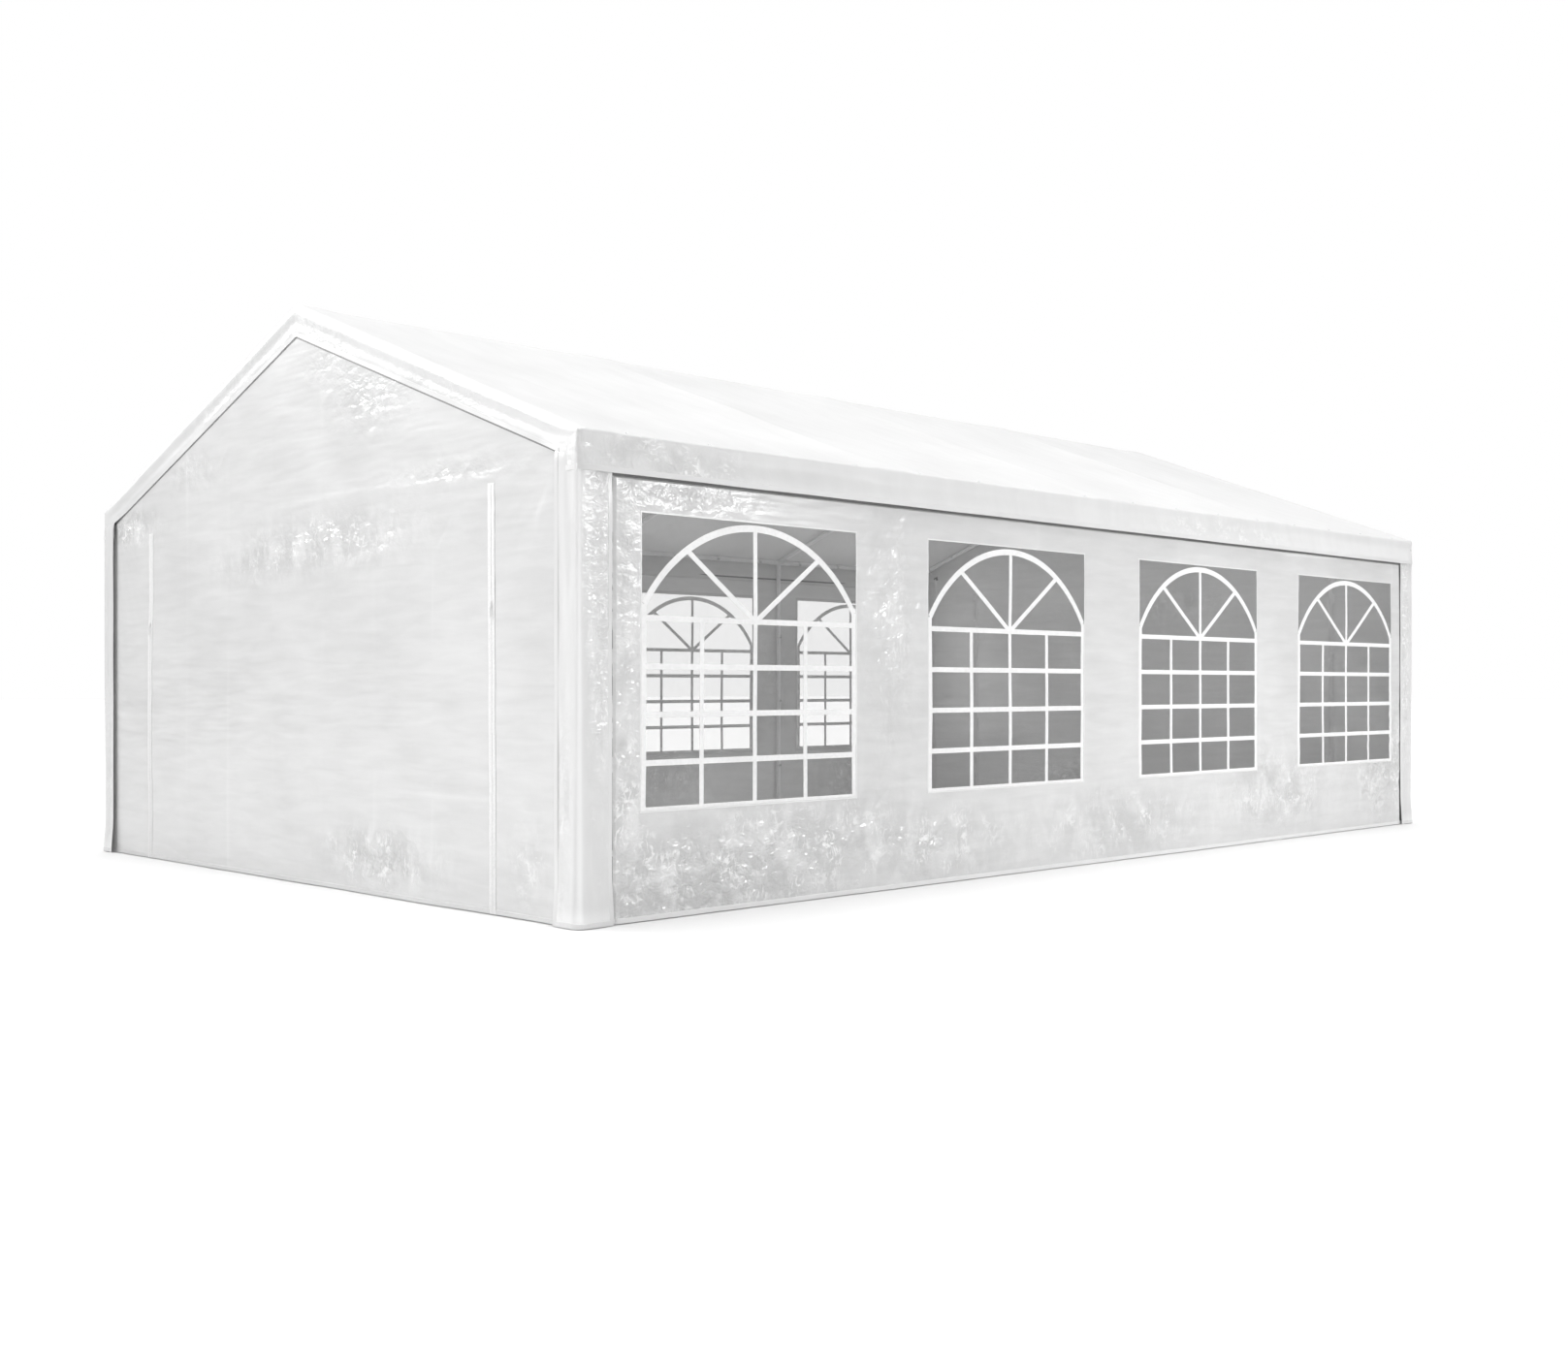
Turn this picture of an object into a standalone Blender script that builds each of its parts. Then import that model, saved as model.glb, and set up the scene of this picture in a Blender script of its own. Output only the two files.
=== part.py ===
"""Marquee tent: a gabled party tent of woven sheet over a plug-together steel tube frame.

Metres, +Z up. The ridge runs along Y, the photographed end wall faces -Y, and the photographed
window wall faces +X. The origin is on the ground, at the centre of the plan.
"""

import math

import bmesh
import bpy
from mathutils import Vector

# Overall size, over the roof cover
LENGTH = 8.0
WIDTH = 4.9
EAVE_Z = 2.155
RIDGE_Z = 3.08

# Sheets. The real cloth is about 0.25 mm thick, and 3 mm here stands for it
SHEET = 0.003
FILM = 0.002
FACE_GAP = 0.0003
GROUND_GAP = 0.004

# Frame tubes, and the hubs and sleeves of the fittings that they plug into
TUBE_R = 0.019
SLEEVE_R = 0.0215
HUB_R = 0.025
SLEEVE_START = 0.006
SLEEVE_LENGTH = 0.12
SOCKET_PAST_SLEEVE = 0.02
SOCKET_START = 0.04
SIDES = 16
POST_INSET = 0.04
BAYS = 4

# Foot plate under each post, set inwards so that the wall hangs clear of it
PLATE = 0.12
PLATE_THICKNESS = 0.004
PLATE_PAST_TUBE = 0.003
PEG_HOLE_R = 0.007
PEG_HOLE_INSET = 0.022

# Roof cover: hanging valances, and edges that are rounded outside and inside
EAVE_VALANCE_Z = 1.975
RAKE_VALANCE_CORNER = (2.286, 2.069)
RAKE_VALANCE_PEAK_Z = 2.906
EDGE_ROUND = 0.022
INNER_ROUND = 0.0196
EDGE_STEPS = 3

# Corner covers: strips sewn into the roof cover that hang over the corner posts
COVER_ON_END = 0.165
COVER_ON_SIDE = 0.19
COVER_TOP = 2.10

# Side walls and their windows
WALL_TOP = 2.145
WALL_CORNER_DROP = 0.055
WINDOW_CENTRES = (-2.945, -0.985, 0.985, 2.945)
WINDOW_WIDTH = 1.40
WINDOW_BOTTOM = 0.49
WINDOW_TOP = 1.815
PANE_LAP = 0.025

# End walls, with a door flap that zips into its opening
END_WALL_BELOW_ROOF = 0.015
END_CORNER_X = 2.37
END_CORNER_Z = 2.09
DOOR_HALF_WIDTH = 1.79
DOOR_TOP = 1.96

# Modelling: how far cutters pass the faces they cut, and the angles that decide on edges
CUT_MARGIN = 0.5
SMOOTH_BELOW = math.radians(40)
ROUND_ABOVE = math.radians(50)
FLAT_WITHIN = math.radians(1)
WELD_WITHIN = 1e-5

# Worked out from the sizes above
HALF_LENGTH = LENGTH / 2
HALF_WIDTH = WIDTH / 2
ROOF_SLOPE = (RIDGE_Z - EAVE_Z) / HALF_WIDTH
ROOF_COS = 1 / math.hypot(1, ROOF_SLOPE)
POST_X = HALF_WIDTH - POST_INSET
END_POST_Y = HALF_LENGTH - POST_INSET
AXIS_BELOW_ROOF = (HUB_R + FACE_GAP + SHEET) / ROOF_COS
EAVE_AXIS_Z = EAVE_Z + ROOF_SLOPE * POST_INSET - AXIS_BELOW_ROOF
RIDGE_AXIS_Z = RIDGE_Z - AXIS_BELOW_ROOF
BAY = 2 * END_POST_Y / BAYS
FRAME_YS = [-END_POST_Y + BAY * number for number in range(BAYS + 1)]
WALL_X = POST_X + HUB_R + FACE_GAP + SHEET
END_WALL_Y = END_POST_Y + HUB_R + FACE_GAP + SHEET
SIDES_OF_TENT = {"right": 1, "left": -1}
ENDS_OF_TENT = {"front": -1, "back": 1}
QUARTER_TURN = math.pi / 2


def clear_scene():
    """Removes whatever the file opened with."""
    for thing in list(bpy.data.objects):
        bpy.data.objects.remove(thing)
    for group in list(bpy.data.collections):
        bpy.data.collections.remove(group)


def make_collection(name, parent=None):
    """A new collection, in the scene or in another collection."""
    group = bpy.data.collections.new(name)
    (parent or bpy.context.scene.collection).children.link(group)
    return group


def make_material(name, colour, roughness, metallic=0.0, alpha=1.0):
    """A Principled BSDF material."""
    made = bpy.data.materials.new(name)
    made.use_nodes = True
    shader = made.node_tree.nodes["Principled BSDF"]
    shader.inputs["Base Color"].default_value = (*colour, 1.0)
    shader.inputs["Roughness"].default_value = roughness
    shader.inputs["Metallic"].default_value = metallic
    shader.inputs["Alpha"].default_value = alpha
    made.diffuse_color = (*colour, alpha)
    return made


def add_part(name, data, material):
    """An object of the tent, carried by its root empty."""
    made = bpy.data.objects.new(name, data)
    made.data.materials.append(material)
    parts.objects.link(made)
    made.parent = tent
    return made


def add_tool(name, data, group=None):
    """A helper that a Boolean reads. It is no part of the tent."""
    made = bpy.data.objects.new(name, data)
    (group or tools).objects.link(made)
    made.hide_render = True
    made.display_type = "WIRE"
    return made


def cylinder_mesh(name, radius, length):
    """A cylinder that stands on its own origin."""
    shape = bmesh.new()
    bmesh.ops.create_cone(
        shape, cap_ends=True, segments=SIDES, radius1=radius, radius2=radius, depth=length
    )
    bmesh.ops.translate(shape, verts=shape.verts, vec=(0, 0, length / 2))
    mesh = bpy.data.meshes.new(name)
    shape.to_mesh(mesh)
    shape.free()
    mesh.shade_smooth()
    mesh.set_sharp_from_angle(angle=SMOOTH_BELOW)
    return mesh


def hub_mesh(name):
    """The ball in the middle of a fitting, about its own origin."""
    shape = bmesh.new()
    bmesh.ops.create_icosphere(shape, subdivisions=3, radius=HUB_R)
    mesh = bpy.data.meshes.new(name)
    shape.to_mesh(mesh)
    shape.free()
    return mesh


def box_mesh(name, size):
    """A box about its own origin."""
    shape = bmesh.new()
    bmesh.ops.create_cube(shape, size=1)
    bmesh.ops.scale(shape, verts=shape.verts, vec=size)
    mesh = bpy.data.meshes.new(name)
    shape.to_mesh(mesh)
    shape.free()
    return mesh


def lay_along(thing, start, end):
    """Puts a piece that was made along Z on the line from start to end."""
    direction = Vector(end) - Vector(start)
    thing.location = start
    thing.rotation_mode = "QUATERNION"
    thing.rotation_quaternion = Vector((0, 0, 1)).rotation_difference(direction)
    return thing


def rod_tool(name, start, end, radius, group):
    """A cylinder from start to end, for a Boolean."""
    length = (Vector(end) - Vector(start)).length
    return lay_along(add_tool(name, cylinder_mesh(name, radius, length), group), start, end)


def add_boolean(thing, operation, tool):
    """A Boolean with one object or with a whole collection."""
    modifier = thing.modifiers.new(operation.lower(), "BOOLEAN")
    modifier.operation = operation
    if isinstance(tool, bpy.types.Collection):
        modifier.operand_type = "COLLECTION"
        modifier.collection = tool
    else:
        modifier.object = tool
    return modifier


def outline_curve(name, outline, thickness, holes=()):
    """A flat plate: a closed 2D outline with holes, thickened both ways about its plane."""
    curve = bpy.data.curves.new(name, "CURVE")
    curve.dimensions = "2D"
    curve.fill_mode = "BOTH"
    curve.extrude = thickness / 2
    for loop in (outline, *holes):
        spline = curve.splines.new("POLY")
        spline.points.add(len(loop) - 1)
        spline.use_cyclic_u = True
        for point, (across, up) in zip(spline.points, loop):
            point.co = (across, up, 0, 1)
    return curve


def rectangle(low, high):
    """The four corners of a rectangle, from its lowest and highest corner."""
    return [low, (high[0], low[1]), high, (low[0], high[1])]


def stand_up(thing, facing):
    """Turns a plate drawn in the XY plane upright: facing Y, or facing X."""
    thing.rotation_euler = (QUARTER_TURN, 0, 0 if facing == "Y" else QUARTER_TURN)
    return thing


def prism_tool(name, outline, length):
    """A solid with this outline in the XZ plane, centred along Y, as a mesh without loose caps."""
    drawn = stand_up(add_tool(name + "_outline", outline_curve(name, outline, length)), "Y")
    bpy.context.view_layer.update()
    graph = bpy.context.evaluated_depsgraph_get()
    mesh = bpy.data.meshes.new_from_object(drawn.evaluated_get(graph))
    shape = bmesh.new()
    shape.from_mesh(mesh)
    bmesh.ops.remove_doubles(shape, verts=shape.verts, dist=WELD_WITHIN)
    bmesh.ops.dissolve_limit(
        shape, angle_limit=FLAT_WITHIN, verts=shape.verts, edges=shape.edges
    )
    bmesh.ops.recalc_face_normals(shape, faces=shape.faces)
    shape.to_mesh(mesh)
    shape.free()
    made = add_tool(name, mesh)
    made.matrix_world = drawn.matrix_world.copy()
    bpy.data.objects.remove(drawn)
    return made


def house_outline(inset, bottom):
    """The roof's section, taken in from its outer faces by inset: two posts and two slopes."""
    half = HALF_WIDTH - inset
    eave = EAVE_Z + ROOF_SLOPE * inset - inset / ROOF_COS
    ridge = RIDGE_Z - inset / ROOF_COS
    return [(-half, bottom), (half, bottom), (half, eave), (0, ridge), (-half, eave)]


def round_edges(thing, width):
    """Rounds the eaves, the rakes and the corners. The ridge turns less, and stays sharp."""
    modifier = thing.modifiers.new("rounded_edges", "BEVEL")
    modifier.limit_method = "ANGLE"
    modifier.angle_limit = ROUND_ABOVE
    modifier.offset_type = "OFFSET"
    modifier.width = width
    modifier.segments = EDGE_STEPS
    return modifier


def build_roof_cover():
    """One sheet over both slopes, with valances along the eaves and down the rakes."""
    below = EAVE_VALANCE_Z - CUT_MARGIN
    outer = prism_tool("roof_outer", house_outline(0, below), LENGTH)
    inner_outline = house_outline(SHEET, below - CUT_MARGIN)
    inner = prism_tool("roof_inner", inner_outline, LENGTH - 2 * SHEET)
    round_edges(inner, INNER_ROUND)
    block = (WIDTH + CUT_MARGIN, LENGTH + CUT_MARGIN, 2 * CUT_MARGIN)
    under_eaves = add_tool("under_eaves", box_mesh("under_eaves", block))
    under_eaves.location = (0, 0, below)
    corner_x, corner_z = RAKE_VALANCE_CORNER
    opening = [
        (-corner_x, below),
        (corner_x, below),
        (corner_x, corner_z),
        (0, RAKE_VALANCE_PEAK_Z),
        (-corner_x, corner_z),
    ]
    end_opening = prism_tool("end_opening", opening, LENGTH + CUT_MARGIN)
    cover = add_part("roof_cover", outer.data, cloth)
    cover.matrix_world = outer.matrix_world.copy()
    bpy.data.objects.remove(outer)
    round_edges(cover, EDGE_ROUND)
    add_boolean(cover, "DIFFERENCE", inner)
    add_boolean(cover, "DIFFERENCE", under_eaves)
    add_boolean(cover, "DIFFERENCE", end_opening)


def corner_cover_path():
    """The plan of a corner cover's outer face, from the end wall round to the side wall."""
    reach_x = HALF_WIDTH - SHEET - FACE_GAP
    reach_y = HALF_LENGTH - SHEET - FACE_GAP
    radius = INNER_ROUND - FACE_GAP
    path = [(HALF_WIDTH - COVER_ON_END, reach_y)]
    for step in range(EDGE_STEPS + 1):
        angle = QUARTER_TURN * (1 - step / EDGE_STEPS)
        path.append(
            (
                reach_x - radius + radius * math.cos(angle),
                reach_y - radius + radius * math.sin(angle),
            )
        )
    path.append((reach_x, HALF_LENGTH - COVER_ON_SIDE))
    return path


def build_corner_cover(end, side):
    """A strip bent round one corner post, as an open surface with its thickness inwards."""
    shape = bmesh.new()
    along_x, along_y = SIDES_OF_TENT[side], ENDS_OF_TENT[end]
    points = [
        shape.verts.new((along_x * x, along_y * y, GROUND_GAP))
        for x, y in corner_cover_path()
    ]
    edges = [shape.edges.new(pair) for pair in zip(points, points[1:])]
    raised = bmesh.ops.extrude_edge_only(shape, edges=edges)["geom"]
    top = [item for item in raised if isinstance(item, bmesh.types.BMVert)]
    bmesh.ops.translate(shape, verts=top, vec=(0, 0, COVER_TOP - GROUND_GAP))
    middle = Vector((0, 0, COVER_TOP / 2))
    bmesh.ops.recalc_face_normals(shape, faces=shape.faces)
    shape.faces.ensure_lookup_table()
    face = shape.faces[0]
    face.normal_update()
    if face.normal.dot(face.calc_center_median() - middle) < 0:
        bmesh.ops.reverse_faces(shape, faces=shape.faces)
    name = f"{end}_{side}_corner_cover"
    mesh = bpy.data.meshes.new(name)
    shape.to_mesh(mesh)
    shape.free()
    strip = add_part(name, mesh, cloth)
    thickness = strip.modifiers.new("thickness", "SOLIDIFY")
    thickness.thickness = SHEET
    thickness.offset = -1
    thickness.use_even_offset = True


def window_outline(centre, lap=0.0):
    """A window's rectangle on its wall, larger all round by lap."""
    half = WINDOW_WIDTH / 2 + lap
    return rectangle((centre - half, WINDOW_BOTTOM - lap), (centre + half, WINDOW_TOP + lap))


def build_side_wall(side):
    """One sheet for the whole side, with the windows cut through it."""
    reach = END_WALL_Y - SHEET - 2 * FACE_GAP
    outline = [
        (-reach, GROUND_GAP),
        (reach, GROUND_GAP),
        (reach, WALL_TOP - WALL_CORNER_DROP),
        (reach - WALL_CORNER_DROP, WALL_TOP),
        (-reach + WALL_CORNER_DROP, WALL_TOP),
        (-reach, WALL_TOP - WALL_CORNER_DROP),
    ]
    holes = [window_outline(centre) for centre in WINDOW_CENTRES]
    wall = add_part(
        f"{side}_wall", outline_curve(f"{side}_wall", outline, SHEET, holes), cloth
    )
    stand_up(wall, "X")
    wall.location = (SIDES_OF_TENT[side] * (WALL_X - SHEET / 2), 0, 0)


def build_window_panes(side):
    """Clear film lapped on the inner face of the wall, one sheet for each window."""
    for number, centre in enumerate(WINDOW_CENTRES, start=1):
        name = f"{side}_window_{number}"
        pane = add_part(name, outline_curve(name, window_outline(centre, PANE_LAP), FILM), film)
        stand_up(pane, "X")
        inner_face = WALL_X - SHEET - FACE_GAP
        pane.location = (SIDES_OF_TENT[side] * (inner_face - FILM / 2), 0, 0)


def end_wall_top(x):
    """Height of the end wall's sloping top edge at this distance from the middle."""
    return EAVE_Z + ROOF_SLOPE * (HALF_WIDTH - abs(x)) - END_WALL_BELOW_ROOF


def build_end_wall(end):
    """The gable sheet: two side strips and the triangle, around the door opening."""
    reach = WALL_X - SHEET - FACE_GAP
    outline = [
        (DOOR_HALF_WIDTH, GROUND_GAP),
        (reach, GROUND_GAP),
        (reach, END_CORNER_Z),
        (END_CORNER_X, end_wall_top(END_CORNER_X)),
        (0, end_wall_top(0)),
        (-END_CORNER_X, end_wall_top(END_CORNER_X)),
        (-reach, END_CORNER_Z),
        (-reach, GROUND_GAP),
        (-DOOR_HALF_WIDTH, GROUND_GAP),
        (-DOOR_HALF_WIDTH, DOOR_TOP),
        (DOOR_HALF_WIDTH, DOOR_TOP),
    ]
    wall = add_part(f"{end}_wall", outline_curve(f"{end}_wall", outline, SHEET), cloth)
    stand_up(wall, "Y")
    wall.location = (0, ENDS_OF_TENT[end] * (END_WALL_Y - SHEET / 2), 0)


def build_door(end):
    """The flap that unzips and rolls up, closed."""
    half = DOOR_HALF_WIDTH - FACE_GAP
    flap_outline = rectangle((-half, GROUND_GAP), (half, DOOR_TOP - FACE_GAP))
    name = f"{end}_door_flap"
    flap = add_part(name, outline_curve(name, flap_outline, SHEET), cloth)
    stand_up(flap, "Y")
    flap.location = (0, ENDS_OF_TENT[end] * (END_WALL_Y - SHEET / 2), 0)


def add_arm(name, node, direction, joined, cut=None):
    """A fitting's sleeve from the node outwards, with a socket where a loose tube plugs in."""
    rod_tool(
        f"{name}_sleeve",
        node + SLEEVE_START * direction,
        node + SLEEVE_LENGTH * direction,
        SLEEVE_R,
        joined,
    )
    if cut:
        rod_tool(
            f"{name}_socket",
            node + SOCKET_START * direction,
            node + (SLEEVE_LENGTH + SOCKET_PAST_SLEEVE) * direction,
            TUBE_R + FACE_GAP,
            cut,
        )


def add_purlin_arms(name, node, joined, cut):
    """The hub of a fitting and its sockets along Y, on the inner side only at the tent's ends."""
    hub = add_tool(f"{name}_hub", hub_mesh("hub"), joined)
    hub.location = node
    for end, along_y in ENDS_OF_TENT.items():
        if abs(node.y + along_y * SLEEVE_LENGTH) < END_POST_Y:
            add_arm(f"{name}_{end}", node, Vector((0, along_y, 0)), joined, cut)


def uphill(along_x):
    """The direction of the rafters on one side, from the eave to the ridge."""
    return ROOF_COS * Vector((-along_x, 0, ROOF_SLOPE))


def add_foot_plate(name, side, number, joined, cut):
    """The plate under a post, with two peg holes, shifted inwards from the walls beside it."""
    inwards = -SIDES_OF_TENT[side]
    shift = PLATE / 2 - TUBE_R - PLATE_PAST_TUBE
    shift_y = {0: shift, BAYS: -shift}.get(number, 0)
    plate = add_tool(f"{name}_plate", box_mesh("plate", (PLATE, PLATE, PLATE_THICKNESS)), joined)
    plate.location = (
        inwards * (shift - POST_X),
        FRAME_YS[number] + shift_y,
        PLATE_THICKNESS / 2,
    )
    to_hole = PLATE / 2 - PEG_HOLE_INSET
    for across in (-1, 1):
        hole_x = plate.location.x + inwards * to_hole
        hole_y = plate.location.y + across * to_hole
        rod_tool(
            f"{name}_peg_hole_{across}",
            (hole_x, hole_y, -PLATE_THICKNESS),
            (hole_x, hole_y, 2 * PLATE_THICKNESS),
            PEG_HOLE_R,
            cut,
        )


def build_post(side, number):
    """A post on its foot plate. Its head fitting takes a rafter and the eave bars."""
    name = f"{side}_post_{number + 1}"
    along_x = SIDES_OF_TENT[side]
    node = Vector((along_x * POST_X, FRAME_YS[number], EAVE_AXIS_Z))
    foot = Vector((node.x, node.y, PLATE_THICKNESS / 2))
    joined = make_collection(f"{name}_joined", tools)
    cut = make_collection(f"{name}_cut", tools)
    post = add_part(name, cylinder_mesh(name, TUBE_R, (node - foot).length), steel)
    post.location = foot
    add_foot_plate(name, side, number, joined, cut)
    add_purlin_arms(name, node, joined, cut)
    add_arm(f"{name}_down", node, Vector((0, 0, -1)), joined)
    add_arm(f"{name}_rafter", node, uphill(along_x), joined, cut)
    add_boolean(post, "UNION", joined)
    add_boolean(post, "DIFFERENCE", cut)


def build_truss(number):
    """Two rafters in the ridge fitting, which takes the ridge bars."""
    name = f"truss_{number + 1}"
    node = Vector((0, FRAME_YS[number], RIDGE_AXIS_Z))
    joined = make_collection(f"{name}_joined", tools)
    cut = make_collection(f"{name}_cut", tools)
    length = POST_X / ROOF_COS - SOCKET_START - FACE_GAP
    truss = add_part(name, cylinder_mesh(name, TUBE_R, length), steel)
    lay_along(truss, node - length * uphill(SIDES_OF_TENT["right"]), node)
    left = uphill(SIDES_OF_TENT["left"])
    rod_tool(f"{name}_left_rafter", node - length * left, node, TUBE_R, joined)
    add_purlin_arms(name, node, joined, cut)
    for side, along_x in SIDES_OF_TENT.items():
        add_arm(f"{name}_{side}", node, -uphill(along_x), joined)
    add_boolean(truss, "UNION", joined)
    add_boolean(truss, "DIFFERENCE", cut)


def build_bars(line, x, z):
    """The tubes along Y of one line, which plug into its fittings."""
    reach = SOCKET_START + FACE_GAP
    for number, (start, end) in enumerate(zip(FRAME_YS, FRAME_YS[1:]), start=1):
        name = f"{line}_bar_{number}"
        bar = add_part(name, cylinder_mesh(name, TUBE_R, end - start - 2 * reach), steel)
        lay_along(bar, (x, start + reach, z), (x, end - reach, z))


clear_scene()
parts = make_collection("marquee_tent")
tools = make_collection("tools")
tent = bpy.data.objects.new("marquee_tent_root", None)
parts.objects.link(tent)
cloth = make_material("woven_cloth", (0.86, 0.86, 0.87), 0.45)
film = make_material("clear_film", (0.62, 0.64, 0.65), 0.08, alpha=0.35)
steel = make_material("coated_steel", (0.72, 0.73, 0.74), 0.35, metallic=0.6)

for frame_number in range(BAYS + 1):
    build_truss(frame_number)
    for side_name in SIDES_OF_TENT:
        build_post(side_name, frame_number)
build_bars("ridge", 0, RIDGE_AXIS_Z)
for side_name, side_x in SIDES_OF_TENT.items():
    build_bars(f"{side_name}_eave", side_x * POST_X, EAVE_AXIS_Z)
    build_side_wall(side_name)
    build_window_panes(side_name)
for end_name in ENDS_OF_TENT:
    build_end_wall(end_name)
    build_door(end_name)
    for side_name in SIDES_OF_TENT:
        build_corner_cover(end_name, side_name)
build_roof_cover()
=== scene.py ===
"""The marquee tent as it looks: cloth, windows, zips and steel frame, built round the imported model.

Metres, +Z up. The ridge runs along Y, the photographed end wall faces -Y, and the photographed
window wall faces +X. Every sheet of cloth is a grid of points from a formula, so what is sewn or
printed on a sheet calls the same formula and lies on it.
"""

import math

import bmesh
import bpy
import numpy as np
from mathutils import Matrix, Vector


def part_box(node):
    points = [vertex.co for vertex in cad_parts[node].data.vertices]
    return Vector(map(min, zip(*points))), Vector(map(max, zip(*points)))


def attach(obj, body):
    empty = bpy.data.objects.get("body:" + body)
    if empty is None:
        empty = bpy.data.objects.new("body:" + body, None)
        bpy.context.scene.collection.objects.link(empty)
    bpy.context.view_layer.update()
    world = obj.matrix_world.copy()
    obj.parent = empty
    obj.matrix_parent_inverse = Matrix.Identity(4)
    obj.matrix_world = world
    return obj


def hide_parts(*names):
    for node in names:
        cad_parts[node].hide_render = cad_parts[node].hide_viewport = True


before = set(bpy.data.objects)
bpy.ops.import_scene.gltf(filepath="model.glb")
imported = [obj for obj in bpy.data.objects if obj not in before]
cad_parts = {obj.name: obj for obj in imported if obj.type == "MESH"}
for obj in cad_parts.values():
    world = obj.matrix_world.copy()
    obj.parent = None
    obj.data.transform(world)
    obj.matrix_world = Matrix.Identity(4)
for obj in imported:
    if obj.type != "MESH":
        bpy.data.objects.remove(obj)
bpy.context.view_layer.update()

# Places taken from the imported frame
ROOF_LOW, ROOF_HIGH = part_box("roof_cover")
HALF_WIDTH = ROOF_HIGH.x
HALF_LENGTH = ROOF_HIGH.y
RIDGE_Z = ROOF_HIGH.z
EAVE_VALANCE_Z = ROOF_LOW.z
WALL_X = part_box("right_wall")[1].x
WALL_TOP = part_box("right_wall")[1].z
WALL_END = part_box("right_wall")[1].y
END_WALL_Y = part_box("back_wall")[1].y
END_WALL_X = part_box("back_wall")[1].x
CLOTH_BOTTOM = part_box("right_wall")[0].z
DOOR_HALF_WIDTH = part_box("back_door_flap")[1].x
DOOR_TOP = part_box("back_door_flap")[1].z
COVER_ON_END = HALF_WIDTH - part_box("front_right_corner_cover")[0].x
COVER_ON_SIDE = HALF_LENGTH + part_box("front_right_corner_cover")[1].y
COVER_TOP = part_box("front_right_corner_cover")[1].z
EAVE_BAR_LOW, EAVE_BAR_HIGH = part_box("right_eave_bar_1")
POST_X = (EAVE_BAR_LOW.x + EAVE_BAR_HIGH.x) / 2
EAVE_AXIS_Z = (EAVE_BAR_LOW.z + EAVE_BAR_HIGH.z) / 2
TUBE_R = (EAVE_BAR_HIGH.x - EAVE_BAR_LOW.x) / 2
RIDGE_AXIS_Z = sum(corner.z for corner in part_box("ridge_bar_1")) / 2

# Driving sizes that the boxes don't give, as in the CAD
EAVE_Z = 2.155
RAKE_HEM_CORNER = (2.286, 2.069)
RAKE_HEM_PEAK_Z = 2.906
PANE_LAP = 0.025
SLEEVE_R = 0.0215
HUB_R = 0.025
SLEEVE_LENGTH = 0.12
POST_INSET = HALF_WIDTH - POST_X
END_POST_Y = HALF_LENGTH - POST_INSET
BAYS = 4
FRAME_YS = [-END_POST_Y + 2 * END_POST_Y / BAYS * number for number in range(BAYS + 1)]
ROOF_SLOPE = (RIDGE_Z - EAVE_Z) / HALF_WIDTH
ROOF_TURN = math.atan(ROOF_SLOPE)
SIDES_OF_TENT = {"right": 1, "left": -1}
ENDS_OF_TENT = {"front": -1, "back": 1}

# Grid steps of the sheets
WALL_STEP = 0.017
ROOF_STEP = 0.026
COVER_STEP = 0.011
FILM_STEP = 0.026

# How far apart the packing folds lie on each sheet, across and along it
WALL_FOLDS = (0.49, 0.36)
END_FOLDS = (0.52, 0.35)
ROOF_FOLDS = (0.56, 0.62)


def ramp(value, start, end):
    """0 before start and 1 after end, with a smooth turn between them."""
    share = np.clip((value - start) / (end - start), 0, 1)
    return share * share * (3 - 2 * share)


def bump(value, centre, width):
    """A rounded peak of height 1."""
    return np.exp(-(((value - centre) / width) ** 2))


def noise(x, y, seed):
    """Smooth gradient noise, about -1 to 1, from random directions at whole-number points."""
    size = 64
    turns = np.random.default_rng(seed).uniform(0, 2 * math.pi, (size, size))
    x, y = np.broadcast_arrays(np.asarray(x, float), np.asarray(y, float))
    cell_x, cell_y = np.floor(x).astype(int), np.floor(y).astype(int)
    part_x, part_y = x - cell_x, y - cell_y
    ease_x, ease_y = (p * p * p * (p * (p * 6 - 15) + 10) for p in (part_x, part_y))
    total = 0
    for step_x in (0, 1):
        for step_y in (0, 1):
            turn = turns[(cell_x + step_x) % size, (cell_y + step_y) % size]
            along = np.cos(turn) * (part_x - step_x) + np.sin(turn) * (part_y - step_y)
            weight = (ease_x if step_x else 1 - ease_x) * (ease_y if step_y else 1 - ease_y)
            total = total + along * weight
    return 1.4 * total


def layered(x, y, seed, layers=3):
    """Noise with finer and weaker layers on it."""
    return sum(noise(x * 2**n, y * 2**n, seed + n) / 2**n for n in range(layers))


def ridged(x, y, seed, layers=2):
    """Noise folded into sharp ridges, from 0 to about 1."""
    return sum(
        (1 - np.abs(noise(x * 2**n, y * 2**n, seed + n)) * 2) / 2**n for n in range(layers)
    )


def patches(a, b, spots):
    """How crumpled the cloth is at each place: a sum of rounded spots (a, b, reaches, weight)."""
    total = np.zeros(np.broadcast(a, b).shape)
    for centre_a, centre_b, reach_a, reach_b, weight in spots:
        total = total + weight * bump(a, centre_a, reach_a) * bump(b, centre_b, reach_b)
    return np.clip(total, 0, 1)


def crease_sets(seed, across, *sets):
    """Straight creases strewn over a sheet: rows of place, direction, half length, width and height."""
    rows = []
    for step, (count, up, turn, lengths, widths, height) in enumerate(sets):
        random = np.random.default_rng(seed + step)
        columns = [
            random.uniform(*across, count),
            random.uniform(*up, count),
            random.normal(*turn, count),
            random.uniform(*lengths, count),
            random.uniform(*widths, count),
            random.uniform(-1, 1, count) * height,
        ]
        rows.append(np.column_stack(columns))
    return np.concatenate(rows)


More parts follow.
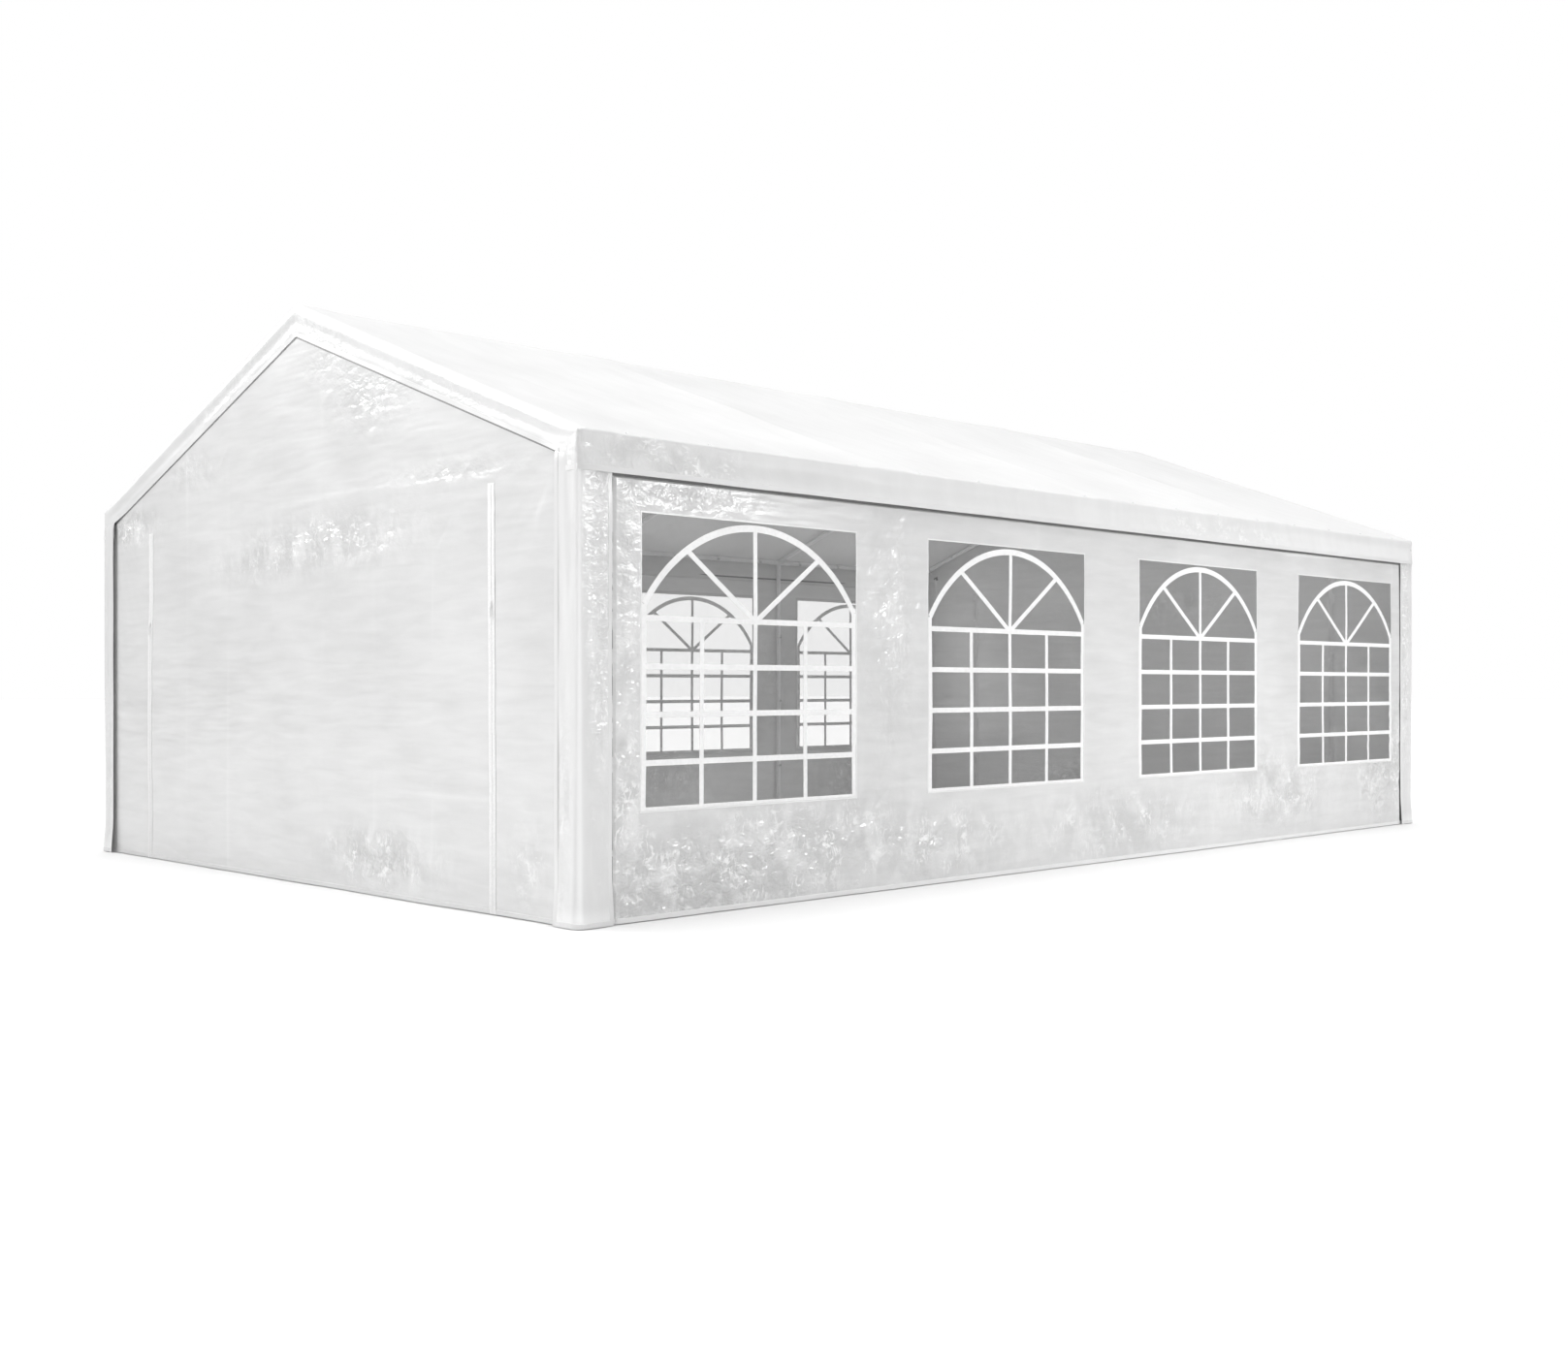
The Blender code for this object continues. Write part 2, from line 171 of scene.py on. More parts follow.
def spot_creases(seed, spots, per_area=140, height=0.009):
    """Short sharp creases in all directions, gathered in the crumpled spots."""
    random = np.random.default_rng(seed)
    rows = []
    for centre_a, centre_b, reach_a, reach_b, weight in spots:
        count = int(per_area * math.pi * reach_a * reach_b * weight) + 3
        columns = [
            random.normal(centre_a, reach_a * 0.6, count),
            random.normal(centre_b, reach_b * 0.6, count),
            random.uniform(-1.3, 1.3, count),
            random.uniform(0.03, 0.10, count),
            random.uniform(0.011, 0.020, count),
            random.uniform(-1, 1, count) * height * (0.5 + 0.5 * weight),
        ]
        rows.append(np.column_stack(columns))
    return np.concatenate(rows)


def creases(a, b, rows):
    """The height of all creases at each place: a tent across each one, fading out along it."""
    total = np.zeros(np.broadcast(a, b).shape)
    for centre_a, centre_b, turn, reach, width, height in rows:
        away_a, away_b = a - centre_a, b - centre_b
        along = away_a * math.cos(turn) + away_b * math.sin(turn)
        across = away_b * math.cos(turn) - away_a * math.sin(turn)
        total = total + height * np.exp(-np.abs(across) / width) * np.exp(-((along / reach) ** 2))
    return total


def fold_lines(a, b, seed, spacings):
    """The lines where the cloth was folded, both ways: how far the nearest is, and its strength."""
    for value, other, spacing, salt in ((a, b, spacings[0], 3), (b, a, spacings[1], 7)):
        place = value / spacing + 0.5
        nearest = np.round(place)
        strength = noise(nearest * 3.7 + salt, other * 1.1, seed + salt)
        yield np.abs(place - nearest) * spacing, strength


def packing_folds(a, b, seed, spacings, height=0.0026, width=0.014):
    """Sharp straight ridges and grooves along the packing folds, stronger here and there."""
    folds = fold_lines(a, b, seed, spacings)
    return sum(height * strength * np.exp(-away / width) for away, strength in folds)


def folded_white(a, b, seed, spacings):
    """How much the coating whitens along the packing folds."""
    folds = fold_lines(a, b, seed, spacings)
    marks = [np.clip(strength, 0, 1) * np.exp(-away / 0.010) for away, strength in folds]
    return 0.35 * np.maximum(*marks)


def lines(stops, step):
    """Rising grid lines through every stop, no more than a step apart."""
    found = [stops[0]]
    for low, high in zip(stops, stops[1:]):
        count = max(1, math.ceil((high - low) / step - 1e-6))
        found.extend(low + (high - low) * n / count for n in range(1, count + 1))
    return np.array(found)


def grid_mesh(name, points, flat, keep=None, flip=False, crumple=None, whitening_and_painted_highlight=None):
    """A sheet of quads over rows and columns of points. flat is each point's place on the cut cloth."""
    rows, columns = points.shape[:2]
    number = np.arange(rows * columns).reshape(rows, columns)
    corners = [number[:-1, :-1], number[:-1, 1:], number[1:, 1:], number[1:, :-1]]
    quads = np.stack(corners[::-1] if flip else corners, axis=-1)
    quads = quads.reshape(-1, 4) if keep is None else quads[keep]
    used, quads = np.unique(quads, return_inverse=True)
    quads = quads.reshape(-1, 4).astype(np.int32)
    mesh = bpy.data.meshes.new(name)
    mesh.vertices.add(len(used))
    mesh.vertices.foreach_set("co", points.reshape(-1, 3)[used].astype(np.float32).ravel())
    mesh.loops.add(quads.size)
    mesh.loops.foreach_set("vertex_index", quads.ravel())
    mesh.polygons.add(len(quads))
    mesh.polygons.foreach_set("loop_start", np.arange(0, quads.size, 4, dtype=np.int32))
    mesh.update(calc_edges=True)
    layer = mesh.uv_layers.new(name="cloth_metres")
    flat_used = flat.reshape(-1, 2)[used]
    layer.data.foreach_set("uv", flat_used[quads.ravel()].astype(np.float32).ravel())
    for key, amounts in (("crumple", crumple), ("whitening_and_painted_highlight", whitening_and_painted_highlight)):
        values = np.zeros(len(used)) if amounts is None else amounts.reshape(-1)[used]
        mesh.attributes.new(key, "FLOAT", "POINT").data.foreach_set("value", values.astype(np.float32))
    mesh.shade_smooth()
    return mesh


def add_piece(name, mesh, material, replaced=()):
    """A piece of the tent, on its body, with its finish's slot and the CAD nodes that it stands for."""
    made = bpy.data.objects.new(name, mesh)
    bpy.context.scene.collection.objects.link(made)
    made.data.materials.append(material)
    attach(made, "root")
    if replaced:
        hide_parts(*replaced)
    return made


class Solid:
    """Faces gathered from many small shapes into one mesh."""

    def __init__(self):
        self.points = []
        self.faces = []

    def add(self, points, faces):
        start = len(self.points)
        self.points.extend(tuple(float(c) for c in p) for p in points)
        self.faces.extend(tuple(start + n for n in face) for face in faces)

    def sweep(self, rings, closed=False, capped=True):
        """Joins rings of equally many points, one after the other."""
        rings = [np.asarray(ring, float) for ring in rings]
        around = len(rings[0])
        count = len(rings)
        faces = []
        for n in range(count if closed else count - 1):
            here, there = n * around, (n + 1) % count * around
            for m in range(around):
                after = (m + 1) % around
                faces.append((here + m, here + after, there + after, there + m))
        if capped and not closed:
            faces.append(tuple(reversed(range(around))))
            faces.append(tuple(range((count - 1) * around, count * around)))
        self.add(np.concatenate(rings), faces)

    def mesh(self, name, smooth_below=40):
        mesh = bpy.data.meshes.new(name)
        mesh.from_pydata(self.points, [], self.faces)
        mesh.validate()
        places = np.empty(len(mesh.vertices) * 3, np.float32)
        mesh.vertices.foreach_get("co", places)
        places = places.reshape(-1, 3)
        corners = np.empty(len(mesh.loops), np.int32)
        mesh.loops.foreach_get("vertex_index", corners)
        flat = np.stack([places[:, 0] + places[:, 1], places[:, 2]], axis=-1)
        mesh.uv_layers.new(name="cloth_metres").data.foreach_set("uv", flat[corners].ravel())
        mesh.shade_smooth()
        mesh.set_sharp_from_angle(angle=math.radians(smooth_below))
        return mesh


def unit(vectors):
    """Each vector at length 1."""
    vectors = np.asarray(vectors, float)
    return vectors / np.maximum(np.linalg.norm(vectors, axis=-1, keepdims=True), 1e-12)


def tangents(path):
    """The direction of a path at each of its points."""
    return unit(np.gradient(path, axis=0))


def add_ribbon(solid, path, across, out, width, thickness):
    """A flat strip along a path: across is its width's direction and out its face's, at each point."""
    half, lip = width / 2, min(width / 4, thickness)
    section = [
        (-half, 0.0),
        (-half + lip, thickness),
        (half - lip, thickness),
        (half, 0.0),
        (half - lip, -0.3 * thickness),
        (-half + lip, -0.3 * thickness),
    ]
    sides = [path + a * across + b * out for a, b in section]
    solid.sweep(np.stack(sides, axis=1))


def lay_strip(solid, points, face, width, thickness):
    """A flat strip along points on a sheet that faces one way."""
    across = unit(np.cross(tangents(points), face))
    add_ribbon(solid, points, across, np.array(face), width, thickness)


def sheet_edges(points):
    """A sheet's two sides, first row and last row, each with the line of points beside it."""
    across = [(points[:, 0], points[:, 1]), (points[:, -1], points[:, -2])]
    return across + [(points[0], points[1]), (points[-1], points[-2])]


def turn_hem(solid, edge, inner, away, inset, width, thickness):
    """A hem along a sheet's edge, on the face of the cloth that looks away."""
    across = unit(inner - edge)
    face = unit(np.cross(tangents(edge), across))
    face = face * np.sign(np.sum(face * away, axis=1, keepdims=True))
    add_ribbon(solid, edge + across * inset, across, face, width, thickness)


def add_rod(solid, start, end, profile, sides=20, capped=True):
    """A turned rod from start to end. The profile gives (share of the length, radius) pairs."""
    start, end = np.array(start, float), np.array(end, float)
    axis = unit(end - start)
    side = unit(np.cross(axis, (0, 0, 1) if abs(axis[2]) < 0.9 else (0, 1, 0)))
    other = np.cross(axis, side)
    turns = np.arange(sides) * 2 * math.pi / sides
    circle = np.outer(np.cos(turns), side) + np.outer(np.sin(turns), other)
    rings = [start + (end - start) * share + circle * radius for share, radius in profile]
    solid.sweep(rings, capped=capped)


def add_ball(solid, centre, radius, rings=8, sides=14):
    """A ball, from turned rings."""
    steps = [math.pi * n / rings for n in range(1, rings)]
    profile = [((1 - math.cos(a)) / 2, radius * math.sin(a)) for a in steps]
    low = np.array(centre, float) - (0, 0, radius)
    add_rod(solid, low, low + (0, 0, 2 * radius), profile, sides)


def add_ring(solid, centre, axis, radius, wire, sides=24, around=8, stretch=(1.0, 1.0)):
    """A ring of round wire about an axis, wider one way if stretched."""
    axis = unit(axis)
    side = unit(np.cross(axis, (0, 0, 1) if abs(axis[2]) < 0.9 else (1, 0, 0)))
    other = np.cross(axis, side)
    rings = []
    for n in range(sides):
        turn = 2 * math.pi * n / sides
        out = math.cos(turn) * side * stretch[0] + math.sin(turn) * other * stretch[1]
        rings.append(
            [
                np.array(centre) + out * radius
                + wire * (math.cos(a) * unit(out) + math.sin(a) * axis)
                for a in (2 * math.pi * m / around for m in range(around))
            ]
        )
    solid.sweep(rings, closed=True)


# Materials


class Nodes:
    """Short calls for building a material's nodes."""

    def __init__(self, name):
        self.material = bpy.data.materials.new(name)
        self.material.use_nodes = True
        self.tree = self.material.node_tree
        self.shader = self.tree.nodes["Principled BSDF"]
        self.output = self.tree.nodes["Material Output"]

    def add(self, kind, settings=None, **inputs):
        made = self.tree.nodes.new(kind)
        for key, value in (settings or {}).items():
            setattr(made, key, value)
        for key, value in inputs.items():
            self.put(made.inputs[key.replace("_", " ")], value)
        return made

    def put(self, socket, value):
        if isinstance(value, bpy.types.NodeSocket):
            self.tree.links.new(value, socket)
        else:
            socket.default_value = value

    def math(self, operation, first, second=0.0, clamp=False):
        made = self.tree.nodes.new("ShaderNodeMath")
        made.operation = operation
        made.use_clamp = clamp
        self.put(made.inputs[0], first)
        self.put(made.inputs[1], second)
        return made.outputs[0]

    def vector(self, operation, first, second=None):
        made = self.tree.nodes.new("ShaderNodeVectorMath")
        made.operation = operation
        self.put(made.inputs[0], first)
        if second is not None:
            self.put(made.inputs[1], second)
        return made.outputs["Vector"]

    def attribute(self, name):
        return self.add("ShaderNodeAttribute", {"attribute_name": name}).outputs["Fac"]

    def remap(self, value, low, high, to_low, to_high):
        made = self.tree.nodes.new("ShaderNodeMapRange")
        for key, given in enumerate((value, low, high, to_low, to_high)):
            self.put(made.inputs[key], given)
        return made.outputs["Result"]

    def place(self, scale=(1, 1, 1), uv=None):
        """Coordinates in metres, from the cut cloth or from the object, stretched by scale."""
        if uv:
            source = self.add("ShaderNodeUVMap", {"uv_map": uv}).outputs["UV"]
        else:
            source = self.add("ShaderNodeTexCoord").outputs["Object"]
        mapping = self.add("ShaderNodeMapping", Vector=source)
        mapping.inputs["Scale"].default_value = scale
        return mapping.outputs["Vector"]

    def noise(self, vector, scale, detail=3.0, roughness=0.55, distortion=0.0):
        made = self.add("ShaderNodeTexNoise", Vector=vector, Scale=scale, Detail=detail)
        made.inputs["Roughness"].default_value = roughness
        made.inputs["Distortion"].default_value = distortion
        return made.outputs["Fac"]

    def cells(self, vector, scale):
        settings = {"feature": "DISTANCE_TO_EDGE", "voronoi_dimensions": "2D"}
        made = self.add("ShaderNodeTexVoronoi", settings, Vector=vector, Scale=scale)
        return made.outputs["Distance"]

    def average(self, first, second):
        return self.math("MULTIPLY", self.math("ADD", first, second), 0.5)

    def mix(self, factor, first, second):
        made = self.add("ShaderNodeMix", {"data_type": "RGBA"})
        self.put(made.inputs["Factor"], factor)
        self.put(made.inputs[6], first)
        self.put(made.inputs[7], second)
        return made.outputs[2]

    def raise_by(self, height, distance, strength=1.0, onto=None):
        made = self.add("ShaderNodeBump", Height=height, Distance=distance)
        self.put(made.inputs["Strength"], strength)
        if onto is not None:
            self.put(made.inputs["Normal"], onto)
        return made.outputs["Normal"]

    def colour(self, tone, low, high, dark, light):
        """The base colour, from dark to light as tone goes from low to high."""
        made = self.mix(self.remap(tone, low, high, 0, 1), dark, light)
        self.put(self.shader.inputs["Base Color"], made)

    def surface(self, pattern, smooth, rough, height, distance, strength):
        """Roughness that follows a pattern, and fine relief that follows a height."""
        made = self.remap(pattern, 0.3, 0.7, smooth, rough)
        self.put(self.shader.inputs["Roughness"], made)
        self.put(self.shader.inputs["Normal"], self.raise_by(height, distance, strength))


def grey(value, tint=(1.0, 1.0, 1.0)):
    """A colour from a grey level and a slight tint."""
    return tuple(value * part for part in tint) + (1.0,)


def cloth_material(name, dark, light, through, streak, gloss, calm):
    """Coated woven sheet: tape weave, milky streaks, creases that whiten, white marks that are partly
    painted glints, painted shade and light in the crumpled spots, painted highlights from the sheet's own
    attribute, and a little light let through.
    """
    made = Nodes(name)
    cloth = "cloth_metres"
    flat = made.place(uv=cloth)
    crumple = made.attribute("crumple")
    whitening_and_painted_highlight = made.attribute("whitening_and_painted_highlight")
    wobble = made.add("ShaderNodeTexNoise", Vector=flat, Scale=9.0).outputs["Color"]
    shift = made.vector("SCALE", wobble)
    shift.node.inputs["Scale"].default_value = 0.07
    warped = made.vector("ADD", made.place((1, 1.5, 1), cloth), shift)

    soft = made.noise(flat, 1.3, 2.0)
    streaks = made.noise(made.place((*streak, 1), cloth), 2.2, 4.0, 0.5, 0.4)
    threads = made.noise(made.place((260, 18, 1), cloth), 1.0, 2.0)
    threads_up = made.noise(made.place((18, 260, 1), cloth), 1.0, 2.0)
    milk = made.remap(made.average(soft, streaks), 0.2, 0.8, 0.0, 1.0)
    thread_tone = made.remap(made.average(threads, threads_up), 0.3, 0.7, -0.06, 0.06)
    milk = made.math("ADD", milk, thread_tone, clamp=True)
    # Darker and lighter blotches in the crumpled spots: painted shade and light of the crumples
    crumple_shade_and_light = made.noise(made.vector("MULTIPLY", warped, (7.0, 3.0, 1.0)), 1.0, 2.0, 0.5, 0.6)
    crumple_shade_and_light = made.remap(crumple_shade_and_light, 0.42, 0.68, -0.9, 0.6)
    milk = made.math("ADD", milk, made.math("MULTIPLY", crumple_shade_and_light, crumple), clamp=True)
    tone = made.mix(milk, dark, light)

    # White marks in the crumpled spots: partly creases whitening, partly painted glints for the
    # highlights on the crumples
    blotches = made.remap(made.noise(warped, 15.0, 3.0, 0.6), 0.56, 0.63, 0.0, 0.9)
    strokes = made.noise(made.vector("MULTIPLY", warped, (58.0, 12.0, 1.0)), 1.0, 3.0, 0.6)
    strokes = made.remap(strokes, 0.52, 0.64, 0.0, 0.9)
    marks = made.math("MAXIMUM", blotches, strokes)
    clusters = made.remap(made.noise(flat, 6.0, 3.0), 0.45, 0.60, 0.0, 1.0)
    marks = made.math("MULTIPLY", marks, clusters)
    marks = made.math("MULTIPLY", marks, made.remap(crumple, 0.08, 0.6, 0.0, 1.0))
    # The sheet's own attribute adds fold whitening and painted highlights
    marks = made.math("MAXIMUM", marks, whitening_and_painted_highlight)
    made.put(made.shader.inputs["Base Color"], made.mix(marks, tone, grey(0.97)))

    crinkle = made.noise(made.place((1, 1.6, 1), cloth), 17.0, 4.0, 0.6, 0.8)
    facets = made.cells(warped, 12.0)
    fine_facets = made.cells(warped, 33.0)
    rough = made.remap(soft, 0.2, 0.8, gloss - 0.03, gloss + 0.04)
    rough = made.math("SUBTRACT", rough, made.math("MULTIPLY", crumple, 0.08))
    made.put(made.shader.inputs["Roughness"], rough)
    weave_a = made.add("ShaderNodeTexWave", {"bands_direction": "X"}, Vector=flat, Scale=62.0)
    weave_b = made.add("ShaderNodeTexWave", {"bands_direction": "Y"}, Vector=flat, Scale=62.0)
    weave = made.math("MAXIMUM", weave_a.outputs["Fac"], weave_b.outputs["Fac"])
    normal = made.raise_by(weave, 0.00005, 0.5 * calm)
    swell = made.noise(made.place((*streak, 1), cloth), 2.2, 1.0)
    normal = made.raise_by(swell, 0.006, calm, normal)
    normal = made.raise_by(crinkle, 0.006, made.remap(crumple, 0, 1, 0.03 * calm, 0.7), normal)
    normal = made.raise_by(facets, 0.055, made.remap(crumple, 0, 1, 0.0, 0.25), normal)
    normal = made.raise_by(fine_facets, 0.012, made.remap(crumple, 0, 1, 0.0, 0.35), normal)
    made.put(made.shader.inputs["Normal"], normal)
    made.shader.inputs["IOR"].default_value = 1.8

    lit = made.add("ShaderNodeBsdfTranslucent", Color=light)
    mixed = made.add("ShaderNodeMixShader", Fac=through)
    made.tree.links.new(made.shader.outputs[0], mixed.inputs[1])
    made.tree.links.new(lit.outputs[0], mixed.inputs[2])
    made.tree.links.new(mixed.outputs[0], made.output.inputs["Surface"])
    return made.material


def film_material():
    """Clear flexible film, greyed a little, with faint ripples and rubbed spots."""
    made = Nodes("window_film")
    place = made.place()
    ripple = made.noise(place, 3.0, 3.0)
    rub = made.noise(place, 22.0, 4.0)
    cloud = made.average(ripple, rub)
    made.colour(cloud, 0.35, 0.65, grey(0.58), grey(0.72))
    made.surface(rub, 0.05, 0.14, ripple, 0.01, 0.25)
    made.put(made.shader.inputs["Alpha"], made.remap(cloud, 0.3, 0.7, 0.13, 0.18))
    made.shader.inputs["IOR"].default_value = 1.45
    return made.material


def print_material():
    """The white print of the window bars, a little worn in places."""
    made = Nodes("window_bar_print")
    place = made.place()
    spots = made.noise(place, 60.0, 4.0)
    made.colour(made.average(spots, made.noise(place, 4.0, 3.0)), 0.35, 0.65, grey(0.82), grey(0.93))
    made.surface(spots, 0.32, 0.5, spots, 0.0008, 0.3)
    return made.material


def steel_material():
    """Powder-coated steel tube: fine orange peel, dull patches, darker where hands and ties rub."""
    made = Nodes("coated_steel")
    place = made.place()
    peel = made.noise(place, 420.0, 2.0)
    dull = made.noise(place, 7.0, 4.0)
    rubs = made.noise(made.place((1, 1, 0.15)), 30.0, 4.0)
    made.colour(made.average(dull, rubs), 0.35, 0.65, grey(0.86, (1, 1, 1.01)), grey(0.94))
    made.surface(dull, 0.30, 0.42, peel, 0.0004, 0.25)
    made.shader.inputs["Metallic"].default_value = 0.2
    return made.material


def plastic_material(name, dark, light, scale=90.0):
    """Moulded plastic or nylon, finely mottled."""
    made = Nodes(name)
    grain = made.noise(made.place(), scale, 3.0)
    made.colour(grain, 0.35, 0.65, dark, light)
    made.surface(grain, 0.35, 0.55, grain, 0.0006, 0.3)
    return made.material


def floor_material():
    """A plain pale studio floor."""
    made = Nodes("studio_floor")
    made.colour(made.noise(made.place(), 0.4, 2.0), 0.3, 0.7, grey(0.73), grey(0.75))
    made.shader.inputs["Roughness"].default_value = 0.9
    made.shader.inputs["Specular IOR Level"].default_value = 0.1
    return made.material


wall_cloth = cloth_material("wall_cloth", grey(0.62), grey(0.80), 0.062, (1.4, 9.0), 0.225, 0.4)
roof_cloth = cloth_material("roof_cloth", grey(0.66), grey(0.76), 0.058, (1.6, 4.0), 0.40, 0.1)
hem_cloth = cloth_material("hem_cloth", grey(0.76), grey(0.88), 0.01, (2.0, 2.0), 0.225, 0.3)
cover_cloth = cloth_material("cover_cloth", grey(0.69), grey(0.81), 0.035, (9.0, 1.2), 0.225, 0.5)
window_film = film_material()
bar_print = print_material()
steel = steel_material()
zip_nylon = plastic_material("zip_nylon", grey(0.74), grey(0.81))
elastic = plastic_material("elastic_and_balls", grey(0.66), grey(0.80))
# Nearly black strips: painted shade for the shadow gaps under the valances and beside the corner covers
painted_shade_strip = plastic_material("painted_shadow_gap", grey(0.16), grey(0.22), 240.0)


# Side walls

WINDOW_NUMBERS = range(1, BAYS + 1)
WALL_WINDOWS = [
    sum(corner.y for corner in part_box(f"right_window_{n}")) / 2 for n in WINDOW_NUMBERS
]
PANE_LOW, PANE_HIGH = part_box("right_window_1")
WINDOW_HALF = (PANE_HIGH.y - PANE_LOW.y) / 2 - PANE_LAP
WINDOW_BOTTOM = PANE_LOW.z + PANE_LAP
WINDOW_TOP = PANE_HIGH.z - PANE_LAP

# The shallow grooves under the valance and beside the corner covers, which hold a dark strip of painted
# shade for the shadow gap there
GROOVE_DEPTH = 0.0075
GROOVE_SIDE = 0.004
TOP_GROOVE_Z = EAVE_VALANCE_Z - 0.011
COVER_EDGE_Y = HALF_LENGTH - COVER_ON_SIDE
SIDE_GROOVE_Y = COVER_EDGE_Y - 0.015
SHADE_STRIP_WIDTH = 0.034
SHADE_STRIP_THICKNESS = 0.0008
SHADE_STRIP_OUT = 0.0004
HEM_WIDTH = 0.024
HEM_THICKNESS = 0.0022

# Crumpled spots on each sheet: place across and up, reach across and up, and weight

WALL_SPOTS = {
    "right": [
        (-3.30, 0.16, 0.62, 0.24, 1.0),
        (-3.72, 1.25, 0.10, 0.55, 0.45),
        (-3.72, 0.55, 0.09, 0.30, 0.7),
        (-2.55, 0.30, 0.45, 0.22, 0.55),
        (-1.65, 0.22, 0.55, 0.20, 0.6),
        (-1.98, 1.30, 0.22, 0.60, 0.35),
        (0.10, 0.22, 0.80, 0.20, 0.55),
        (1.95, 0.35, 0.60, 0.22, 0.7),
        (3.55, 0.50, 0.40, 0.40, 0.8),
        (-3.35, 1.90, 0.35, 0.06, 0.5),
    ],
    "left": [
        (3.20, 0.20, 0.60, 0.25, 0.9),
        (2.00, 1.20, 0.25, 0.60, 0.4),
        (0.60, 0.28, 0.70, 0.20, 0.5),
        (-1.90, 0.30, 0.55, 0.25, 0.6),
        (-3.50, 0.65, 0.35, 0.45, 0.7),
        (-0.05, 1.40, 0.20, 0.50, 0.4),
    ],
}
WALL_SEEDS = {"right": 11, "left": 47}
WALL_CREASES = {
    side: crease_sets(
        seed,
        (-3.9, 3.9),
        (70, (0.05, 1.95), (0, 0.35), (0.1, 0.5), (0.02, 0.05), 0.0022),
        (60, (0.02, 0.48), (0.7, 0.7), (0.05, 0.2), (0.01, 0.03), 0.0035),
        (36, (0.5, 1.9), (1.5, 0.25), (0.1, 0.3), (0.015, 0.03), 0.002),
    )
    for side, seed in WALL_SEEDS.items()
}
WALL_CRUMPLES = {side: spot_creases(seed + 3, WALL_SPOTS[side]) for side, seed in WALL_SEEDS.items()}


def beside_windows(y):
    """1 between the windows and 0 over them, where the film keeps the sheet flatter."""
    nearest = np.min([np.abs(y - centre) for centre in WALL_WINDOWS], axis=0)
    return ramp(nearest, WINDOW_HALF - 0.05, WINDOW_HALF + 0.05)


def wall_crumple(side, y, z):
    """How crumpled a side wall is at a place along and up it."""
    return patches(y, z, WALL_SPOTS[side])


def wall_relief(side, y, z):
    """How far a side wall stands out of its plane."""
    seed = WALL_SEEDS[side]
    crumple = wall_crumple(side, y, z)
    below = ramp(z, WINDOW_BOTTOM, WINDOW_BOTTOM - 0.12)
    calm = 0.35 + 0.65 * np.maximum(beside_windows(y), below)
    billow = 0.007 * layered(y / 1.5, z / 1.1 + 3, seed, 2)
    ripple = 0.0022 * noise(y / 0.33, z / 0.16, seed + 5) * calm
    rough = 0.0085 * crumple * (ridged(y / 0.125, z / 0.10, seed + 8, 2) - 0.6)
    sharp = creases(y, z, WALL_CREASES[side]) * (0.35 + crumple) * calm
    sharp = sharp + creases(y, z, WALL_CRUMPLES[side]) * calm
    folds = packing_folds(y, z, seed, WALL_FOLDS) * calm
    hem_wave = 0.006 * noise(y / 0.42, 0.5, seed + 9) * ramp(z, 0.35, 0.0)
    relief = billow + ripple + rough + sharp + folds + hem_wave
    relief = relief * ramp(z, 2.02, 1.93) * ramp(np.abs(y), 3.93, 3.70)
    top_groove = ramp(z, TOP_GROOVE_Z - GROOVE_SIDE, TOP_GROOVE_Z)
    side_groove = ramp(np.abs(y), SIDE_GROOVE_Y - GROOVE_SIDE, SIDE_GROOVE_Y + 0.002)
    return relief - GROOVE_DEPTH * np.maximum(top_groove, side_groove) * ramp(z, 2.11, 2.07)


def wall_point(side, y, z, out=0.0):
    """A point on a side wall, or a little out of it."""
    y, z = np.broadcast_arrays(np.asarray(y, float), np.asarray(z, float))
    x = SIDES_OF_TENT[side] * (WALL_X + wall_relief(side, y, z) + out)
    return np.stack([x, y, z], axis=-1)


CORNER_CUT = 0.055


def build_side_wall(side):
    """The cloth of a side wall, open at its windows and cut off slantwise at its top corners."""
    grooves = [SIDE_GROOVE_Y - 0.011, SIDE_GROOVE_Y - 0.006, SIDE_GROOVE_Y, WALL_END]
    stops = [-stop for stop in grooves] + grooves
    for centre in WALL_WINDOWS:
        stops += [centre - WINDOW_HALF, centre + WINDOW_HALF]
    ys = lines(sorted(stops), WALL_STEP)
    groove = [TOP_GROOVE_Z - 2 * GROOVE_SIDE, TOP_GROOVE_Z - GROOVE_SIDE, TOP_GROOVE_Z]
    zs = lines(
        [CLOTH_BOTTOM, WINDOW_BOTTOM, WINDOW_TOP, *groove, EAVE_VALANCE_Z, WALL_TOP - 0.004], WALL_STEP
    )
    y, z = np.meshgrid(ys, zs)
    middle_y, middle_z = (ys[:-1] + ys[1:]) / 2, (zs[:-1] + zs[1:]) / 2
    in_window = np.min([np.abs(middle_y - c) for c in WALL_WINDOWS], axis=0) < WINDOW_HALF
    in_height = (middle_z > WINDOW_BOTTOM) & (middle_z < WINDOW_TOP)
    keep = ~np.outer(in_height, in_window)
    past_corner = np.maximum(0, np.abs(y) - WALL_END + CORNER_CUT)
    top = np.minimum(z, WALL_TOP - CORNER_CUT + np.maximum(0, CORNER_CUT - past_corner))
    name = f"{side}_wall_cloth"
    mesh = grid_mesh(
        name,
        wall_point(side, y, top),
        np.stack([y, z], axis=-1),
        keep,
        side == "left",
        wall_crumple(side, y, z),
        folded_white(y, z, WALL_SEEDS[side], WALL_FOLDS),
    )
    made = add_piece(name, mesh, wall_cloth, [f"{side}_wall"])


def wall_strip(solid, side, path, width, thickness, out=0.0):
    """A strip laid on a side wall along a path of (y, z) points."""
    y, z = np.array(path, float).T
    face = (float(SIDES_OF_TENT[side]), 0.0, 0.0)
    lay_strip(solid, wall_point(side, y, z, out), face, width, thickness)


def stepped(start, end, step=0.03):
    """Points along a straight line on a sheet, both ends included."""
    count = max(2, round(math.dist(start, end) / step) + 1)
    return [
        tuple(low + (high - low) * n / (count - 1) for low, high in zip(start, end))
        for n in range(count)
    ]


